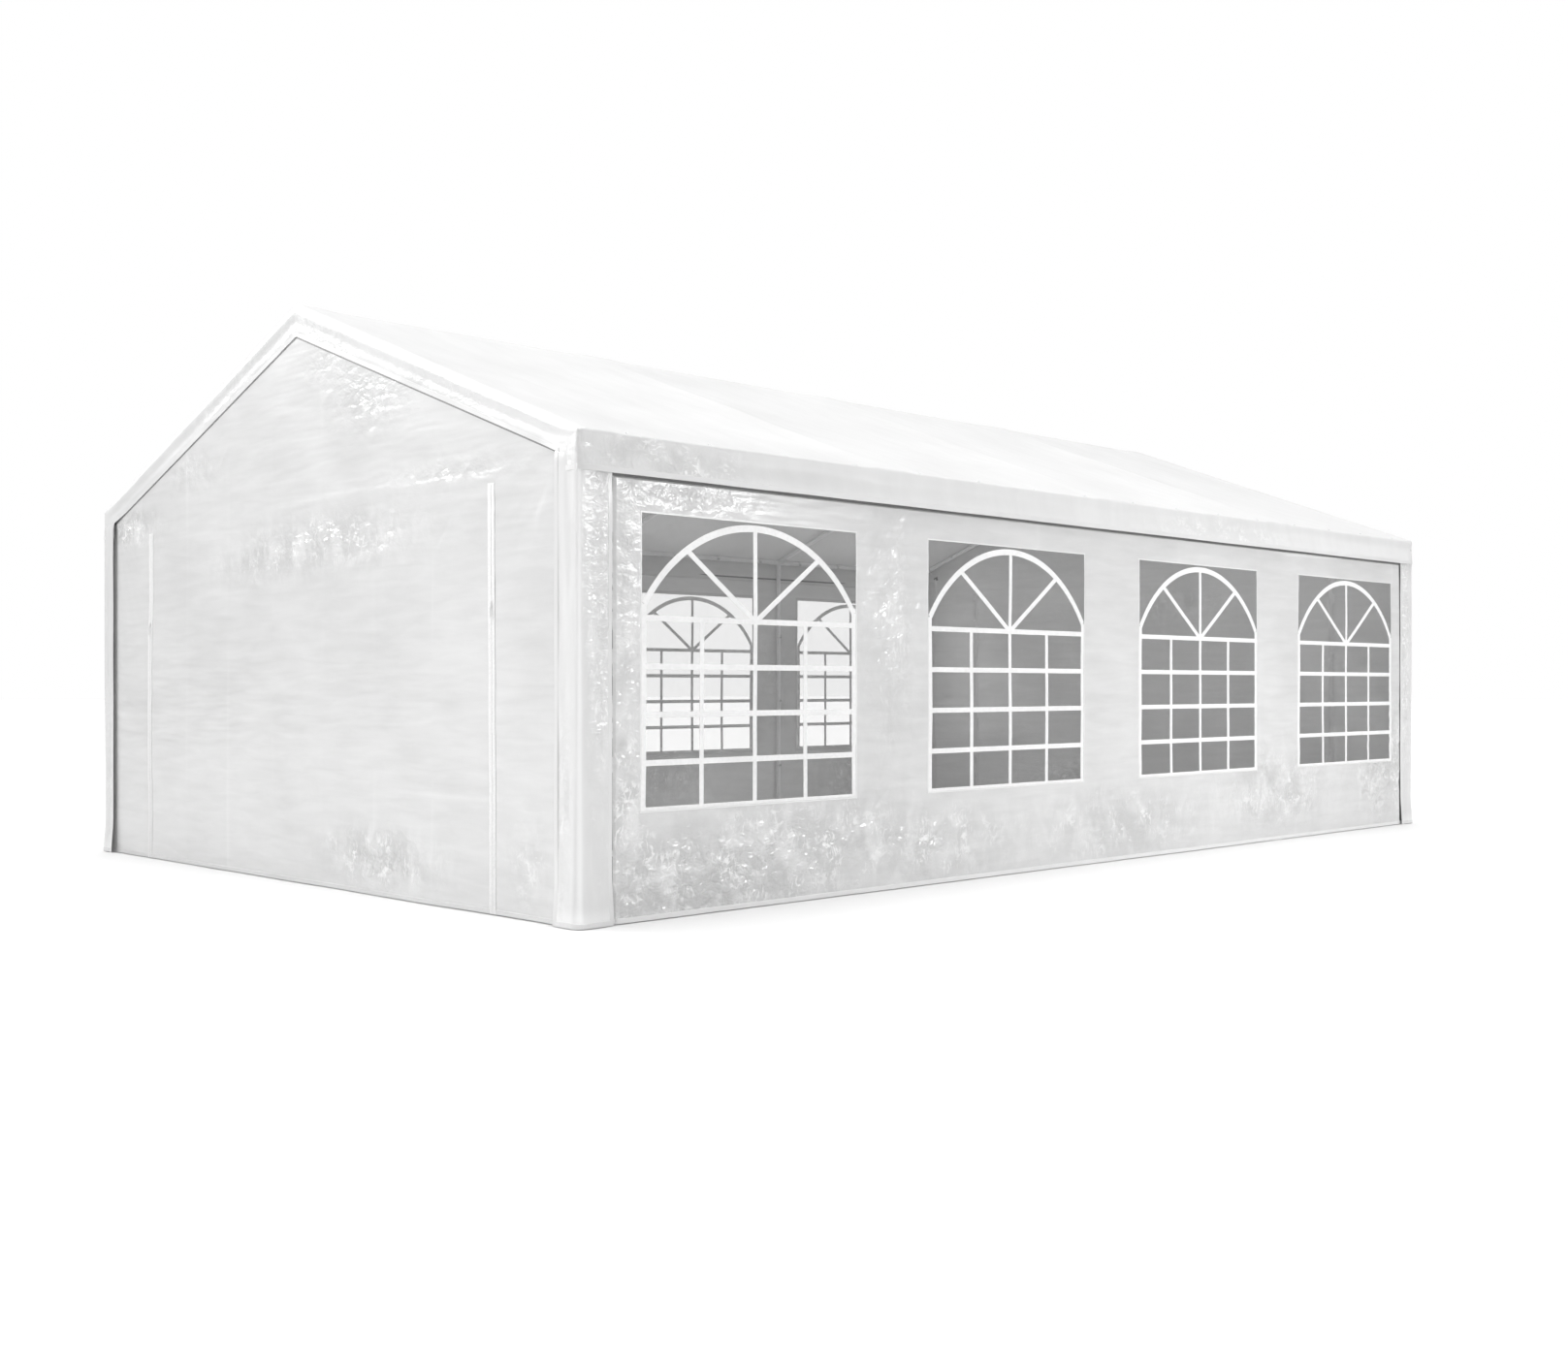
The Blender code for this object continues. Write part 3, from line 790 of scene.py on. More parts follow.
# The print on each window: widths, and places from the window's middle and from the ground
BAR_WIDTH = 0.027
FRAME_BAR = 0.029
SILL_BAR = 0.016
ARCH_BAR = FRAME_BAR + 0.004
BAR_THICKNESS = 0.0014
BAR_LAYER = 0.0001
FILM_OUT = -0.0022
PRINT_OUT = -0.0018
BAR_ROWS = (0.703, 0.918, 1.133)
TRANSOM_Z = 1.349
BAR_COLUMNS = (-0.34, 0.34)
ARCH_SPRING = (0.684, 1.41)
ARCH_TOP_Z = 1.788
SPOKE_TURNS = (math.radians(36), math.radians(144))


def arch_circle():
    """The radius and middle height of the arc through an arch's springings and top."""
    half, spring = ARCH_SPRING
    rise = ARCH_TOP_Z - spring
    radius = (half * half + rise * rise) / (2 * rise)
    return radius, ARCH_TOP_Z - radius


def arch_path(centre):
    """The printed arch over a window."""
    radius, middle_z = arch_circle()
    reach = math.asin(ARCH_SPRING[0] / radius)
    count = 44
    return [
        (centre + radius * math.sin(turn), middle_z + radius * math.cos(turn))
        for turn in (reach * (2 * n / (count - 1) - 1) for n in range(count))
    ]


def spoke_end(centre, turn):
    """Where a spoke from the middle of the transom meets the arch."""
    radius, middle_z = arch_circle()
    drop = TRANSOM_Z - middle_z
    up = math.sin(turn)
    reach = -drop * up + math.sqrt(drop * drop * up * up - drop * drop + radius * radius)
    return centre + reach * math.cos(turn), TRANSOM_Z + reach * up


def build_window(side, number):
    """One window: the clear film behind its opening, and the bars printed on it."""
    centre = WALL_WINDOWS[number - 1]
    half = WINDOW_HALF + PANE_LAP
    ys = lines([centre - half, centre - WINDOW_HALF, centre + WINDOW_HALF, centre + half], FILM_STEP)
    zs = lines([WINDOW_BOTTOM - PANE_LAP, WINDOW_BOTTOM, WINDOW_TOP, WINDOW_TOP + PANE_LAP], FILM_STEP)
    y, z = np.meshgrid(ys, zs)
    name = f"{side}_window_{number}_film"
    points = wall_point(side, y, z, FILM_OUT)
    mesh = grid_mesh(name, points, np.stack([y, z], axis=-1), flip=side == "left")
    film = add_piece(name, mesh, window_film, [f"{side}_window_{number}"])
    bars = Solid()
    low = WINDOW_BOTTOM + SILL_BAR / 2
    left, right = centre - WINDOW_HALF + FRAME_BAR / 2, centre + WINDOW_HALF - FRAME_BAR / 2
    spring = ARCH_SPRING[1]
    straight = [
        ((left - FRAME_BAR / 2, low), (right + FRAME_BAR / 2, low), SILL_BAR),
        ((left, low), (left, spring), FRAME_BAR),
        ((right, low), (right, spring), FRAME_BAR),
        ((left, TRANSOM_Z), (right, TRANSOM_Z), BAR_WIDTH),
        ((centre, low), (centre, ARCH_TOP_Z), BAR_WIDTH),
    ]
    straight += [((left, row), (right, row), BAR_WIDTH) for row in BAR_ROWS]
    straight += [((y, low), (y, TRANSOM_Z), BAR_WIDTH) for y in (centre + c for c in BAR_COLUMNS)]
    straight += [((centre, TRANSOM_Z), spoke_end(centre, turn), BAR_WIDTH) for turn in SPOKE_TURNS]
    for layer, (start, end, width) in enumerate(straight):
        thickness = BAR_THICKNESS + BAR_LAYER * (layer % 4)
        wall_strip(bars, side, stepped(start, end), width, thickness, PRINT_OUT)
    wall_strip(bars, side, arch_path(centre), ARCH_BAR, BAR_THICKNESS + 5 * BAR_LAYER, PRINT_OUT)
    add_piece(f"{side}_window_{number}_bars", bars.mesh("bars"), bar_print)


# End walls and doors

END_SPOTS = {
    "front": [
        (0.75, 2.49, 0.35, 0.16, 0.4),
        (0.84, 0.19, 0.45, 0.12, 1.0),
        (-2.05, 2.02, 0.30, 0.10, 0.9),
        (-1.25, 2.30, 0.30, 0.10, 0.45),
        (0.35, 1.80, 0.75, 0.14, 0.6),
        (1.45, 2.05, 0.60, 0.07, 0.25),
        (-0.45, 1.72, 0.45, 0.10, 0.35),
        (2.05, 0.25, 0.15, 0.20, 0.4),
        (0.35, 2.72, 0.25, 0.10, 0.25),
    ],
    "back": [
        (-0.80, 2.45, 0.35, 0.16, 0.8),
        (-0.60, 0.22, 0.50, 0.14, 0.7),
        (1.95, 2.00, 0.30, 0.10, 0.7),
        (0.20, 1.75, 0.80, 0.14, 0.45),
    ],
}
END_SEEDS = {"front": 23, "back": 71}
END_CREASES = {
    end: crease_sets(
        seed,
        (-2.3, 2.3),
        (90, (0.1, 2.7), (0, 0.25), (0.12, 0.6), (0.02, 0.05), 0.0022),
        (40, (1.5, 2.8), (0.2, 0.5), (0.06, 0.25), (0.012, 0.03), 0.003),
        (30, (0.02, 0.5), (0.3, 0.6), (0.06, 0.2), (0.012, 0.03), 0.003),
    )
    for end, seed in END_SEEDS.items()
}
END_CRUMPLES = {end: spot_creases(seed + 3, END_SPOTS[end], 120) for end, seed in END_SEEDS.items()}
RAKE_SLOPE = (RAKE_HEM_PEAK_Z - RAKE_HEM_CORNER[1]) / RAKE_HEM_CORNER[0]
RAKE_COS = 1 / math.hypot(1, RAKE_SLOPE)
EAVE_FOLD_Z = 2.008
EAVE_FOLD_HEIGHT = 0.005
END_GROOVE_X = HALF_WIDTH - COVER_ON_END - 0.007
END_GROOVE_DEPTH = 0.004
GROOVE_BELOW_RAKE = 0.010


def below_rake_hem(x, z):
    """How far below the rake valance's hem a place on an end wall lies, square to the hem."""
    return (RAKE_HEM_PEAK_Z - RAKE_SLOPE * np.abs(x) - z) * RAKE_COS


def end_crumple(end, x, z):
    """How crumpled an end wall is at a place across and up it."""
    return patches(x, z, END_SPOTS[end])


def corner_fans(x, z, seed):
    """Folds that radiate from the eave corners, where the sheet is pulled tight."""
    total = 0
    for side in SIDES_OF_TENT.values():
        away_x, away_z = side * RAKE_HEM_CORNER[0] - x, z - RAKE_HEM_CORNER[1]
        distance = np.hypot(away_x, away_z)
        turn = np.arctan2(away_z, side * away_x)
        fade = np.exp(-distance / 0.9) * ramp(distance, 0.03, 0.2)
        total = total + fade * layered(turn * 3.4 + 20 * side, distance * 0.9, seed + side, 2)
    return 0.005 * total


def eave_fold(end, x, z):
    """A fold across the sheet at the height of the eaves."""
    along = -ENDS_OF_TENT[end] * x
    away = np.abs(z - EAVE_FOLD_Z - 0.012 * np.sin(along * 2.1))
    fold = EAVE_FOLD_HEIGHT * np.exp(-away / 0.022)
    return fold * ramp(along, -0.9, 0.4) * ramp(along, 2.0, 1.6)


def end_relief(end, x, z):
    """How far an end wall, or its door flap, stands out of its plane."""
    seed = END_SEEDS[end]
    crumple = end_crumple(end, x, z)
    depth = below_rake_hem(x, z)
    billow = 0.011 * layered(x / 1.6, z / 1.2, seed, 2)
    ripple = 0.0022 * noise(x / 0.5, z / 0.14, seed + 5)
    rough = 0.008 * crumple * (ridged(x / 0.15, z / 0.10, seed + 8, 2) - 0.6)
    sharp = creases(x, z, END_CREASES[end]) * (0.4 + crumple) + creases(x, z, END_CRUMPLES[end])
    folds = packing_folds(x, z, seed, END_FOLDS)
    hem_wave = 0.006 * noise(x / 0.5, 0.5, seed + 9) * ramp(z, 0.35, 0.0)
    relief = billow + ripple + rough + sharp + folds + eave_fold(end, x, z) + hem_wave
    relief = relief + corner_fans(x, z, seed + 12)
    flat_edge = ramp(np.abs(x), END_GROOVE_X + 0.06, END_GROOVE_X - 0.12)
    relief = relief * ramp(depth, 0.0, 0.32) * flat_edge
    side_groove = ramp(np.abs(x), END_GROOVE_X, END_GROOVE_X + 0.006) * ramp(z, 2.10, 2.05)
    return relief - END_GROOVE_DEPTH * side_groove


def end_point(end, x, z, out=0.0):
    """A point on an end wall, or a little out of it."""
    x, z = np.broadcast_arrays(np.asarray(x, float), np.asarray(z, float))
    y = ENDS_OF_TENT[end] * (END_WALL_Y + end_relief(end, x, z) + out)
    return np.stack([x, y, z], axis=-1)


# Grid rows of an end wall: level ones up to a height, then rows that fan out to the rake's hem, then
# rows from there to the top edge
LEVEL_ROWS_TOP = 2.04
FAN_ROWS = 52
TOP_ROWS = 8


def end_top(x):
    """Height of an end wall's sloping top edge."""
    return np.minimum(RIDGE_Z - ROOF_SLOPE * np.abs(x) - 0.018, RIDGE_Z)


def build_end_wall(end):
    """The gable sheet round its door opening, and the flap that zips into it."""
    half = [0, DOOR_HALF_WIDTH, END_GROOVE_X, END_GROOVE_X + 0.006, END_WALL_X]
    xs = lines([-v for v in reversed(half[1:])] + half, WALL_STEP)
    level = lines([CLOTH_BOTTOM, DOOR_TOP], WALL_STEP)
    between = lines([DOOR_TOP, LEVEL_ROWS_TOP], WALL_STEP)[1:]
    rows = [np.full(len(xs), z) for z in (*level, *between)]
    hem = RAKE_HEM_PEAK_Z - RAKE_SLOPE * np.abs(xs)
    first = rows[-1]
    low_end = hem - (GROOVE_BELOW_RAKE + 0.004) / RAKE_COS
    last = low_end - 0.005
    rows += [first + (last - first) * n / FAN_ROWS for n in range(1, FAN_ROWS + 1)]
    rows += [low_end, hem - GROOVE_BELOW_RAKE / RAKE_COS, hem]
    top = end_top(xs)
    rows += [hem + (top - hem) * n / TOP_ROWS for n in range(1, TOP_ROWS + 1)]
    z = np.maximum.accumulate(np.array(rows), axis=0)
    x = np.tile(xs, (len(rows), 1))
    middle_x = np.abs((xs[:-1] + xs[1:]) / 2)
    in_door = np.outer(np.arange(len(rows) - 1) < len(level) - 1, middle_x < DOOR_HALF_WIDTH)
    points = end_point(end, x, z)
    flat = np.stack([x, z], axis=-1)
    flip = end == "back"
    crumple = end_crumple(end, x, z)
    # The eave fold is painted lighter along its ridge, a painted highlight; the coating whitens along the
    # packing folds
    fold = eave_fold(end, x, z) / EAVE_FOLD_HEIGHT
    whitening_and_painted_highlight = np.maximum(folded_white(x, z, END_SEEDS[end], END_FOLDS), 0.15 * fold)
    wall, door = (
        add_piece(
            name,
            grid_mesh(name, points, flat, keep, flip, crumple, whitening_and_painted_highlight),
            wall_cloth,
            [node],
        )
        for name, node, keep in (
            (f"{end}_wall_cloth", f"{end}_wall", ~in_door),
            (f"{end}_door_cloth", f"{end}_door_flap", in_door),
        )
    )


def end_strip(solid, end, path, width, thickness, out=0.0):
    """A strip laid on an end wall along a path of (x, z) points."""
    x, z = np.array(path, float).T
    face = (0.0, float(ENDS_OF_TENT[end]), 0.0)
    lay_strip(solid, end_point(end, x, z, out), face, width, thickness)


# A zip's tape, coil and slider: width, thickness and how far out each lies
ZIP_TAPE = (0.054, 0.0016, 0.0004)
ZIP_COIL = (0.007, 0.0022, 0.0018)
ZIP_SLIDER = (0.013, 0.006, 0.003)
ZIP_PULL = (0.008, 0.003, 0.009)
COIL_PITCH = 0.008
COIL_RIB = 0.0045
SLIDER_Z = 1.40


def build_zips(end):
    """Both door zips: a tape on each, a ribbed coil down its middle, and a slider with its pull."""
    tape, coil = Solid(), Solid()
    for side in SIDES_OF_TENT.values():
        x = side * DOOR_HALF_WIDTH
        path = stepped((x, CLOTH_BOTTOM + 0.002), (x, DOOR_TOP + 0.012), 0.025)
        end_strip(tape, end, path, *ZIP_TAPE)
        ribs = np.arange(CLOTH_BOTTOM + 0.01, DOOR_TOP, COIL_PITCH)
        pieces = [(z, z + COIL_RIB, ZIP_COIL) for z in ribs]
        pieces.append((SLIDER_Z, SLIDER_Z + 0.03, ZIP_SLIDER))
        pieces.append((SLIDER_Z - 0.045, SLIDER_Z + 0.004, ZIP_PULL))
        for low, high, sizes in pieces:
            end_strip(coil, end, [(x, low), (x, high)], *sizes)
    add_piece(f"{end}_zips", tape.mesh("zips"), zip_nylon)
    add_piece(f"{end}_zip_coils", coil.mesh("coils"), zip_nylon)


# Roof cover

EAVE_ROUND = 0.024
EAVE_STEPS = 5
RAKE_STEPS = 4
RAKE_ROUND = 0.021
RIDGE_ROUND = 0.03
SAG = 0.022
LOWER_BETWEEN_FITTINGS = 0.0062
VALANCE_FLARE = 0.011
ROOF_SEED = 131


def roof_half_profile():
    """The right half of the roof's section, from its hem to the ridge: places and outward turns."""
    full_turn = math.pi / 2 - ROOF_TURN
    drop = EAVE_ROUND * math.tan(full_turn / 2)
    ridge_drop = RIDGE_ROUND * math.tan(ROOF_TURN)
    valance = lines([EAVE_VALANCE_Z, EAVE_VALANCE_Z + 0.028, EAVE_Z - drop], 0.016)
    places = [(HALF_WIDTH, z, 0.0) for z in valance]
    centre = (HALF_WIDTH - EAVE_ROUND, EAVE_Z - drop)
    for n in range(1, EAVE_STEPS):
        turn = full_turn * n / EAVE_STEPS
        places.append(
            (centre[0] + EAVE_ROUND * math.cos(turn), centre[1] + EAVE_ROUND * math.sin(turn), turn)
        )
    start = (HALF_WIDTH - drop * math.cos(ROOF_TURN), EAVE_Z + drop * math.sin(ROOF_TURN))
    end = (ridge_drop * math.cos(ROOF_TURN), RIDGE_Z - ridge_drop * math.sin(ROOF_TURN))
    for share in lines([0.0, 1.0], ROOF_STEP / math.dist(start, end)):
        x, z = (low + (high - low) * share for low, high in zip(start, end))
        places.append((x, z, full_turn))
    top = RIDGE_Z - ridge_drop / math.sin(ROOF_TURN) * (1 - math.cos(ROOF_TURN))
    places.append((0.0, (places[-1][1] + top) / 2 + 0.0008, math.pi / 2))
    return places


def roof_profile():
    """The whole section, right hem to left hem, as arrays of x, z, outward x and outward z."""
    half = np.array(roof_half_profile())
    x, z, turn = half.T
    out_x, out_z = np.cos(turn), np.sin(turn)
    mirrored = slice(-2, None, -1)
    return (
        np.concatenate([x, -x[mirrored]]),
        np.concatenate([z, z[mirrored]]),
        np.concatenate([out_x, -out_x[mirrored]]),
        np.concatenate([out_z, out_z[mirrored]]),
    )


def rake_hem(x, z, reach):
    """Where the end band's hem lies for each place of the section, and how far up the slope that is."""
    corner = reach[np.argmin(np.abs(np.abs(x) - HALF_WIDTH + 0.004) + np.abs(z - EAVE_Z))]
    ridge = reach[len(reach) // 2]
    from_edge = np.minimum(reach, reach[-1] - reach)
    on_slope = np.clip((from_edge - corner) / (ridge - corner), 0, 1)
    on_valance = np.clip(from_edge / corner, 0, 1)
    corner_x, corner_z = RAKE_HEM_CORNER
    hem_x = np.sign(x) * corner_x * (1 - on_slope)
    hem_z = EAVE_VALANCE_Z + (corner_z - EAVE_VALANCE_Z) * on_valance
    hem_z = np.where(on_slope > 0, corner_z + (RAKE_HEM_PEAK_Z - corner_z) * on_slope, hem_z)
    return hem_x, hem_z, on_slope


def near_fittings(y):
    """1 over the trusses' fittings and 0 between them."""
    return np.max([ramp(np.abs(y - frame_y), 0.2, 0.1) for frame_y in FRAME_YS], axis=0)


def between_trusses(y):
    """0 over each truss and 1 halfway to the next one."""
    bay = (FRAME_YS[-1] - FRAME_YS[0]) / BAYS
    share = np.clip((y - FRAME_YS[0]) / bay, 0, BAYS)
    share = share - np.floor(np.minimum(share, BAYS - 1e-9))
    return 4 * share * (1 - share)


ROOF_CREASES = crease_sets(
    ROOF_SEED,
    (-2.7, 2.7),
    (120, (-4.0, 4.0), (1.57, 0.4), (0.2, 0.8), (0.02, 0.06), 0.0025),
    (60, (-4.0, 4.0), (0.1, 0.4), (0.1, 0.5), (0.02, 0.05), 0.0025),
)
ROOF_SPOTS = [
    (-2.72, -3.55, 0.10, 0.45, 0.9),
    (2.72, -3.55, 0.10, 0.35, 0.9),
    (2.72, -2.6, 0.10, 0.50, 0.3),
    (-2.72, 1.2, 0.10, 0.80, 0.4),
    (2.72, 2.4, 0.10, 0.60, 0.4),
    (-0.3, -4.1, 0.40, 0.12, 0.4),
    (0.9, -4.1, 0.60, 0.12, 0.3),
    (-1.6, -4.1, 0.60, 0.12, 0.3),
]
ROOF_CRUMPLES = spot_creases(ROOF_SEED + 4, ROOF_SPOTS, 120, 0.004)


def roof_relief(reach, y, z):
    """How far the roof sheet stands out of its section: sag between tubes, folds, a loose valance."""
    up = np.clip((z - EAVE_Z) / (RIDGE_Z - EAVE_Z), 0, 1)
    panel = 4 * up * (1 - up)
    span = between_trusses(y)
    sag = -SAG * np.sqrt(np.clip(span, 0, 1)) ** 1.4 * panel**0.8
    on_eave = ramp(z, EAVE_Z - 0.12, EAVE_Z - 0.03) * ramp(up, 0.12, 0.0)
    on_line = np.maximum(on_eave, ramp(up, 0.93, 1.0))
    lowered = -LOWER_BETWEEN_FITTINGS * on_line * (1 - near_fittings(y))
    folds = packing_folds(reach, y, ROOF_SEED, ROOF_FOLDS, 0.003)
    wave = 0.004 * layered(reach / 0.9, y / 1.1, ROOF_SEED + 3, 2) * panel
    sharp = creases(reach, y, ROOF_CREASES) * (0.35 + 0.65 * panel)
    sharp = sharp + creases(reach, y, ROOF_CRUMPLES) * ramp(HALF_LENGTH - np.abs(y), 0.02, 0.12)
    below = ramp(z, EAVE_Z - 0.02, EAVE_VALANCE_Z)
    flare = VALANCE_FLARE * below * below
    flutter = 0.007 * below * layered(y / 0.55, reach * 0.3, ROOF_SEED + 5, 2)
    tuck = -0.004 * bump(z, EAVE_Z - 0.075, 0.04)
    calm_end = ramp(HALF_LENGTH - np.abs(y), 0.0, 0.12)
    return sag + lowered + folds + wave + sharp + (flare + flutter) * calm_end + tuck


def band_relief(reach, share, on_slope, seed):
    """How far an end band stands out of the end's plane, from its top edge to its hem."""
    over_tube = 0.006 * bump(share, 0.16, 0.15)
    recess = -0.007 * bump(share, 0.50, 0.18)
    hem = -0.009 * ramp(share, 0.45, 1.0)
    wave = 0.0035 * layered(reach / 0.35, share * 0.8, seed, 2) * bump(share, 0.5, 0.35)
    shape = over_tube + recess + hem + wave
    return shape * ramp(on_slope, 0.0, 0.06) + 0.0012 * noise(reach / 0.1, share * 3, seed + 4)


def roof_points():
    """The roof sheet from its front hem to its back hem: points, places on the cut cloth, crumple."""
    x, z, out_x, out_z = roof_profile()
    reach = np.concatenate([[0], np.cumsum(np.hypot(np.diff(x), np.diff(z)))])
    hem_x, hem_z, on_slope = rake_hem(x, z, reach)
    across = reach - reach[-1] / 2
    edge = HALF_LENGTH - RAKE_ROUND
    half_length = HALF_LENGTH + RAKE_ROUND * (math.pi / 2 - 1)
    band_depth = np.hypot(x - hem_x, z - hem_z)
    turns = [math.pi / 2 * n / RAKE_STEPS for n in range(RAKE_STEPS)]
    shares = np.concatenate([np.linspace(1, 0.84, 3)[:-1], np.linspace(0.84, 0, 10)[:-1]])

    def everywhere(value):
        return np.full(len(x), value)

    def top_row(y, raised=0.0, place=None):
        """The section at y, or on an end's rounded edge, raised that much and moved to place."""
        lift = roof_relief(across, everywhere(y), z) - (0.0 if place is None else RAKE_ROUND)
        row_x = x + out_x * lift + out_x * raised
        row_z = z + out_z * lift + out_z * raised
        return np.stack([row_x, everywhere(y if place is None else place), row_z], axis=-1)

    def end_rows(end):
        """An end's rows, from the hem up the band and round the edge, with places on the cut cloth."""
        start = top_row(end * edge, 0.0, end * HALF_LENGTH)
        for share in shares:
            relief = band_relief(across, everywhere(share), on_slope, ROOF_SEED + 20 + end)
            row = start.copy()
            row[:, 0] = start[:, 0] + (hem_x - start[:, 0]) * share
            row[:, 2] = start[:, 2] + (hem_z - start[:, 2]) * share
            row[:, 1] = end * (HALF_LENGTH + relief)
            yield row, end * (half_length + share * band_depth)
        for turn in turns:
            raised = RAKE_ROUND * math.sin(turn)
            row = top_row(end * edge, raised, end * (edge + RAKE_ROUND * math.cos(turn)))
            yield row, everywhere(end * (half_length - RAKE_ROUND * turn))

    rows = list(end_rows(-1))
    for y in lines([-edge, *FRAME_YS[1:-1], edge], ROOF_STEP):
        rows.append((top_row(y), everywhere(y)))
    rows += reversed(list(end_rows(1)))
    points = np.array([row for row, _ in rows])
    flat = np.array([np.stack([across, along], axis=-1) for _, along in rows])
    return points, flat, patches(flat[..., 0], flat[..., 1], ROOF_SPOTS)


def build_roof():
    """The roof cover, one sheet from hem to hem."""
    points, flat, crumple = roof_points()
    build_roof_hems(points)
    mesh = grid_mesh("roof_cover_cloth", points, flat, crumple=crumple, flip=True)
    made = add_piece("roof_cover_cloth", mesh, roof_cloth, ["roof_cover"])


def build_roof_hems(points):
    """The turned hems all round the roof cover, sewn back inside."""
    hems = Solid()
    inside = (0, 0, 1.5)
    for sides in sheet_edges(points):
        edge, inner = (
            side[::2] if len(side) % 2 else np.concatenate([side[::2], side[-1:]]) for side in sides
        )
        turn_hem(hems, edge, inner, edge - inside, 0.012, 0.026, 0.0016)
    add_piece("roof_hems", hems.mesh("roof_hems"), roof_cloth)


# Corner covers

COVER_SEEDS = {
    ("front", "right"): 203, ("front", "left"): 204, ("back", "right"): 205, ("back", "left"): 206
}
COVER_SPOTS = [(0.12, 1.3, 0.08, 0.9, 0.7), (-0.10, 0.5, 0.06, 0.5, 0.4)]
COVER_ROUND_TOP = 0.0225
COVER_ROUND_BOTTOM = 0.042


def cover_points(end, side):
    """A corner cover: columns from its end wall edge, round the post, to its side wall edge."""
    seed = COVER_SEEDS[end, side]
    zs = lines([CLOTH_BOTTOM, 0.03, COVER_TOP], COVER_STEP * 1.5)
    on_end = np.linspace(-1, 0, round(COVER_ON_END / COVER_STEP) + 1)
    on_side = np.linspace(0, 1, round(COVER_ON_SIDE / COVER_STEP) + 1)
    rows, flats = [], []
    for z in zs:
        radius = COVER_ROUND_TOP + (COVER_ROUND_BOTTOM - COVER_ROUND_TOP) * ramp(z, 1.4, 0.0)
        flare = 0.012 * ramp(z, 0.22, 0.0)
        above = ramp(z, 2.03, 2.09)
        under = ramp(z, 1.94, 1.99)
        end_out = 0.0012 - 0.0045 * above
        side_out = -0.0035
        middle_x, middle_y = HALF_WIDTH - radius, HALF_LENGTH - radius
        row, flat = [], []
        for share in on_end[:-1]:
            away = -share * (COVER_ON_END - radius)
            lift = 0.006 * ramp(away, 0.09, COVER_ON_END - 0.03) * (1 - above)
            wave = 0.004 * noise(away / 0.05, z / 0.55, seed) * (1 - above) * ramp(away, 0.0, 0.05)
            row.append((middle_x - away, HALF_LENGTH + end_out + lift + wave + flare, z))
            flat.append((-away - radius * math.pi / 4, z))
        for share in np.linspace(0, 1, 6)[:-1]:
            turn = math.pi / 2 * (1 - share)
            out = radius + end_out + (side_out - end_out) * share + flare
            row.append((middle_x + out * math.cos(turn), middle_y + out * math.sin(turn), z))
            flat.append((radius * math.pi / 2 * (share - 0.5), z))
        for share in on_side:
            away = share * (COVER_ON_SIDE - radius)
            lift = -0.008 * ramp(away, 0.04, COVER_ON_SIDE - 0.03)
            wave = 0.0035 * noise(away / 0.07, z / 0.4, seed + 3) * (1 - under) * ramp(away, 0.0, 0.05)
            row.append((HALF_WIDTH + side_out + lift + wave + flare, middle_y - away, z))
            flat.append((away + radius * math.pi / 4, z))
        rows.append(row)
        flats.append(flat)
    points, flat = np.array(rows), np.array(flats)
    points[..., 0] *= SIDES_OF_TENT[side]
    points[..., 1] *= ENDS_OF_TENT[end]
    return points, flat


def build_cover(end, side):
    """A corner cover with its side and bottom hems."""
    points, flat = cover_points(end, side)
    name = f"{end}_{side}_cover_cloth"
    flip = SIDES_OF_TENT[side] * ENDS_OF_TENT[end] > 0
    crumple = patches(flat[..., 0], flat[..., 1], COVER_SPOTS)
    # Painted highlight: a white line down the rounded corner stands in for the highlight there; the
    # bottom 10 cm is also made lighter
    whitening_and_painted_highlight = 0.9 * bump(flat[..., 0], 0.0, 0.012) + 0.5 * ramp(flat[..., 1], 0.10, 0.02)
    whitening_and_painted_highlight = np.clip(whitening_and_painted_highlight, 0, 1)
    mesh = grid_mesh(name, points, flat, flip=flip, crumple=crumple, whitening_and_painted_highlight=whitening_and_painted_highlight)
    made = add_piece(name, mesh, cover_cloth, [f"{end}_{side}_corner_cover"])
    hems = Solid()
    middle = np.array([SIDES_OF_TENT[side] * POST_X, ENDS_OF_TENT[end] * END_POST_Y, 0])
    for edge, inner in sheet_edges(points)[:3]:
        away = (edge - middle) * (1, 1, 0)
        turn_hem(hems, edge, inner, away, 0.011, 0.024, 0.0014)
    add_piece(f"{end}_{side}_cover_hems", hems.mesh("hems"), cover_cloth)


# Steel frame

SMOOTH_SIDES = 28
END_CHAMFER = 0.0015
BAR_INSET = 0.041
RAFTER_START = 0.045
WELD_WIRE = 0.0022
PLATE_SIZE = 0.12
PLATE_SHIFT = 0.038
PLATE_THICKNESS = 0.004
PLATE_CLIP = 0.012
PEG_HOLE_R = 0.007
PEG_HOLE_INSET = 0.022

# A sleeve's profile, and its wing screw's collar, shank and wings: shares of the length and radii
SLEEVE_LIP_R = SLEEVE_R + 0.0012
SLEEVE_PROFILE = [
    (0.03, SLEEVE_R),
    (0.93, SLEEVE_R),
    (0.95, SLEEVE_LIP_R),
    (0.985, SLEEVE_LIP_R),
    (1.0, SLEEVE_R - 0.001),
]
SCREW_SHARE = 0.62
COLLAR_HEIGHT = 0.005
SHANK_HEIGHT = 0.008
WING_REACH = (0.012, 0.010)


def add_tube(solid, start, end, radius):
    """A round tube with lightly rounded ends."""
    length = math.dist(start, end)
    edge = END_CHAMFER / length
    profile = [(0, radius - END_CHAMFER), (edge, radius), (1 - edge, radius), (1, radius - END_CHAMFER)]
    add_rod(solid, start, end, profile, SMOOTH_SIDES)


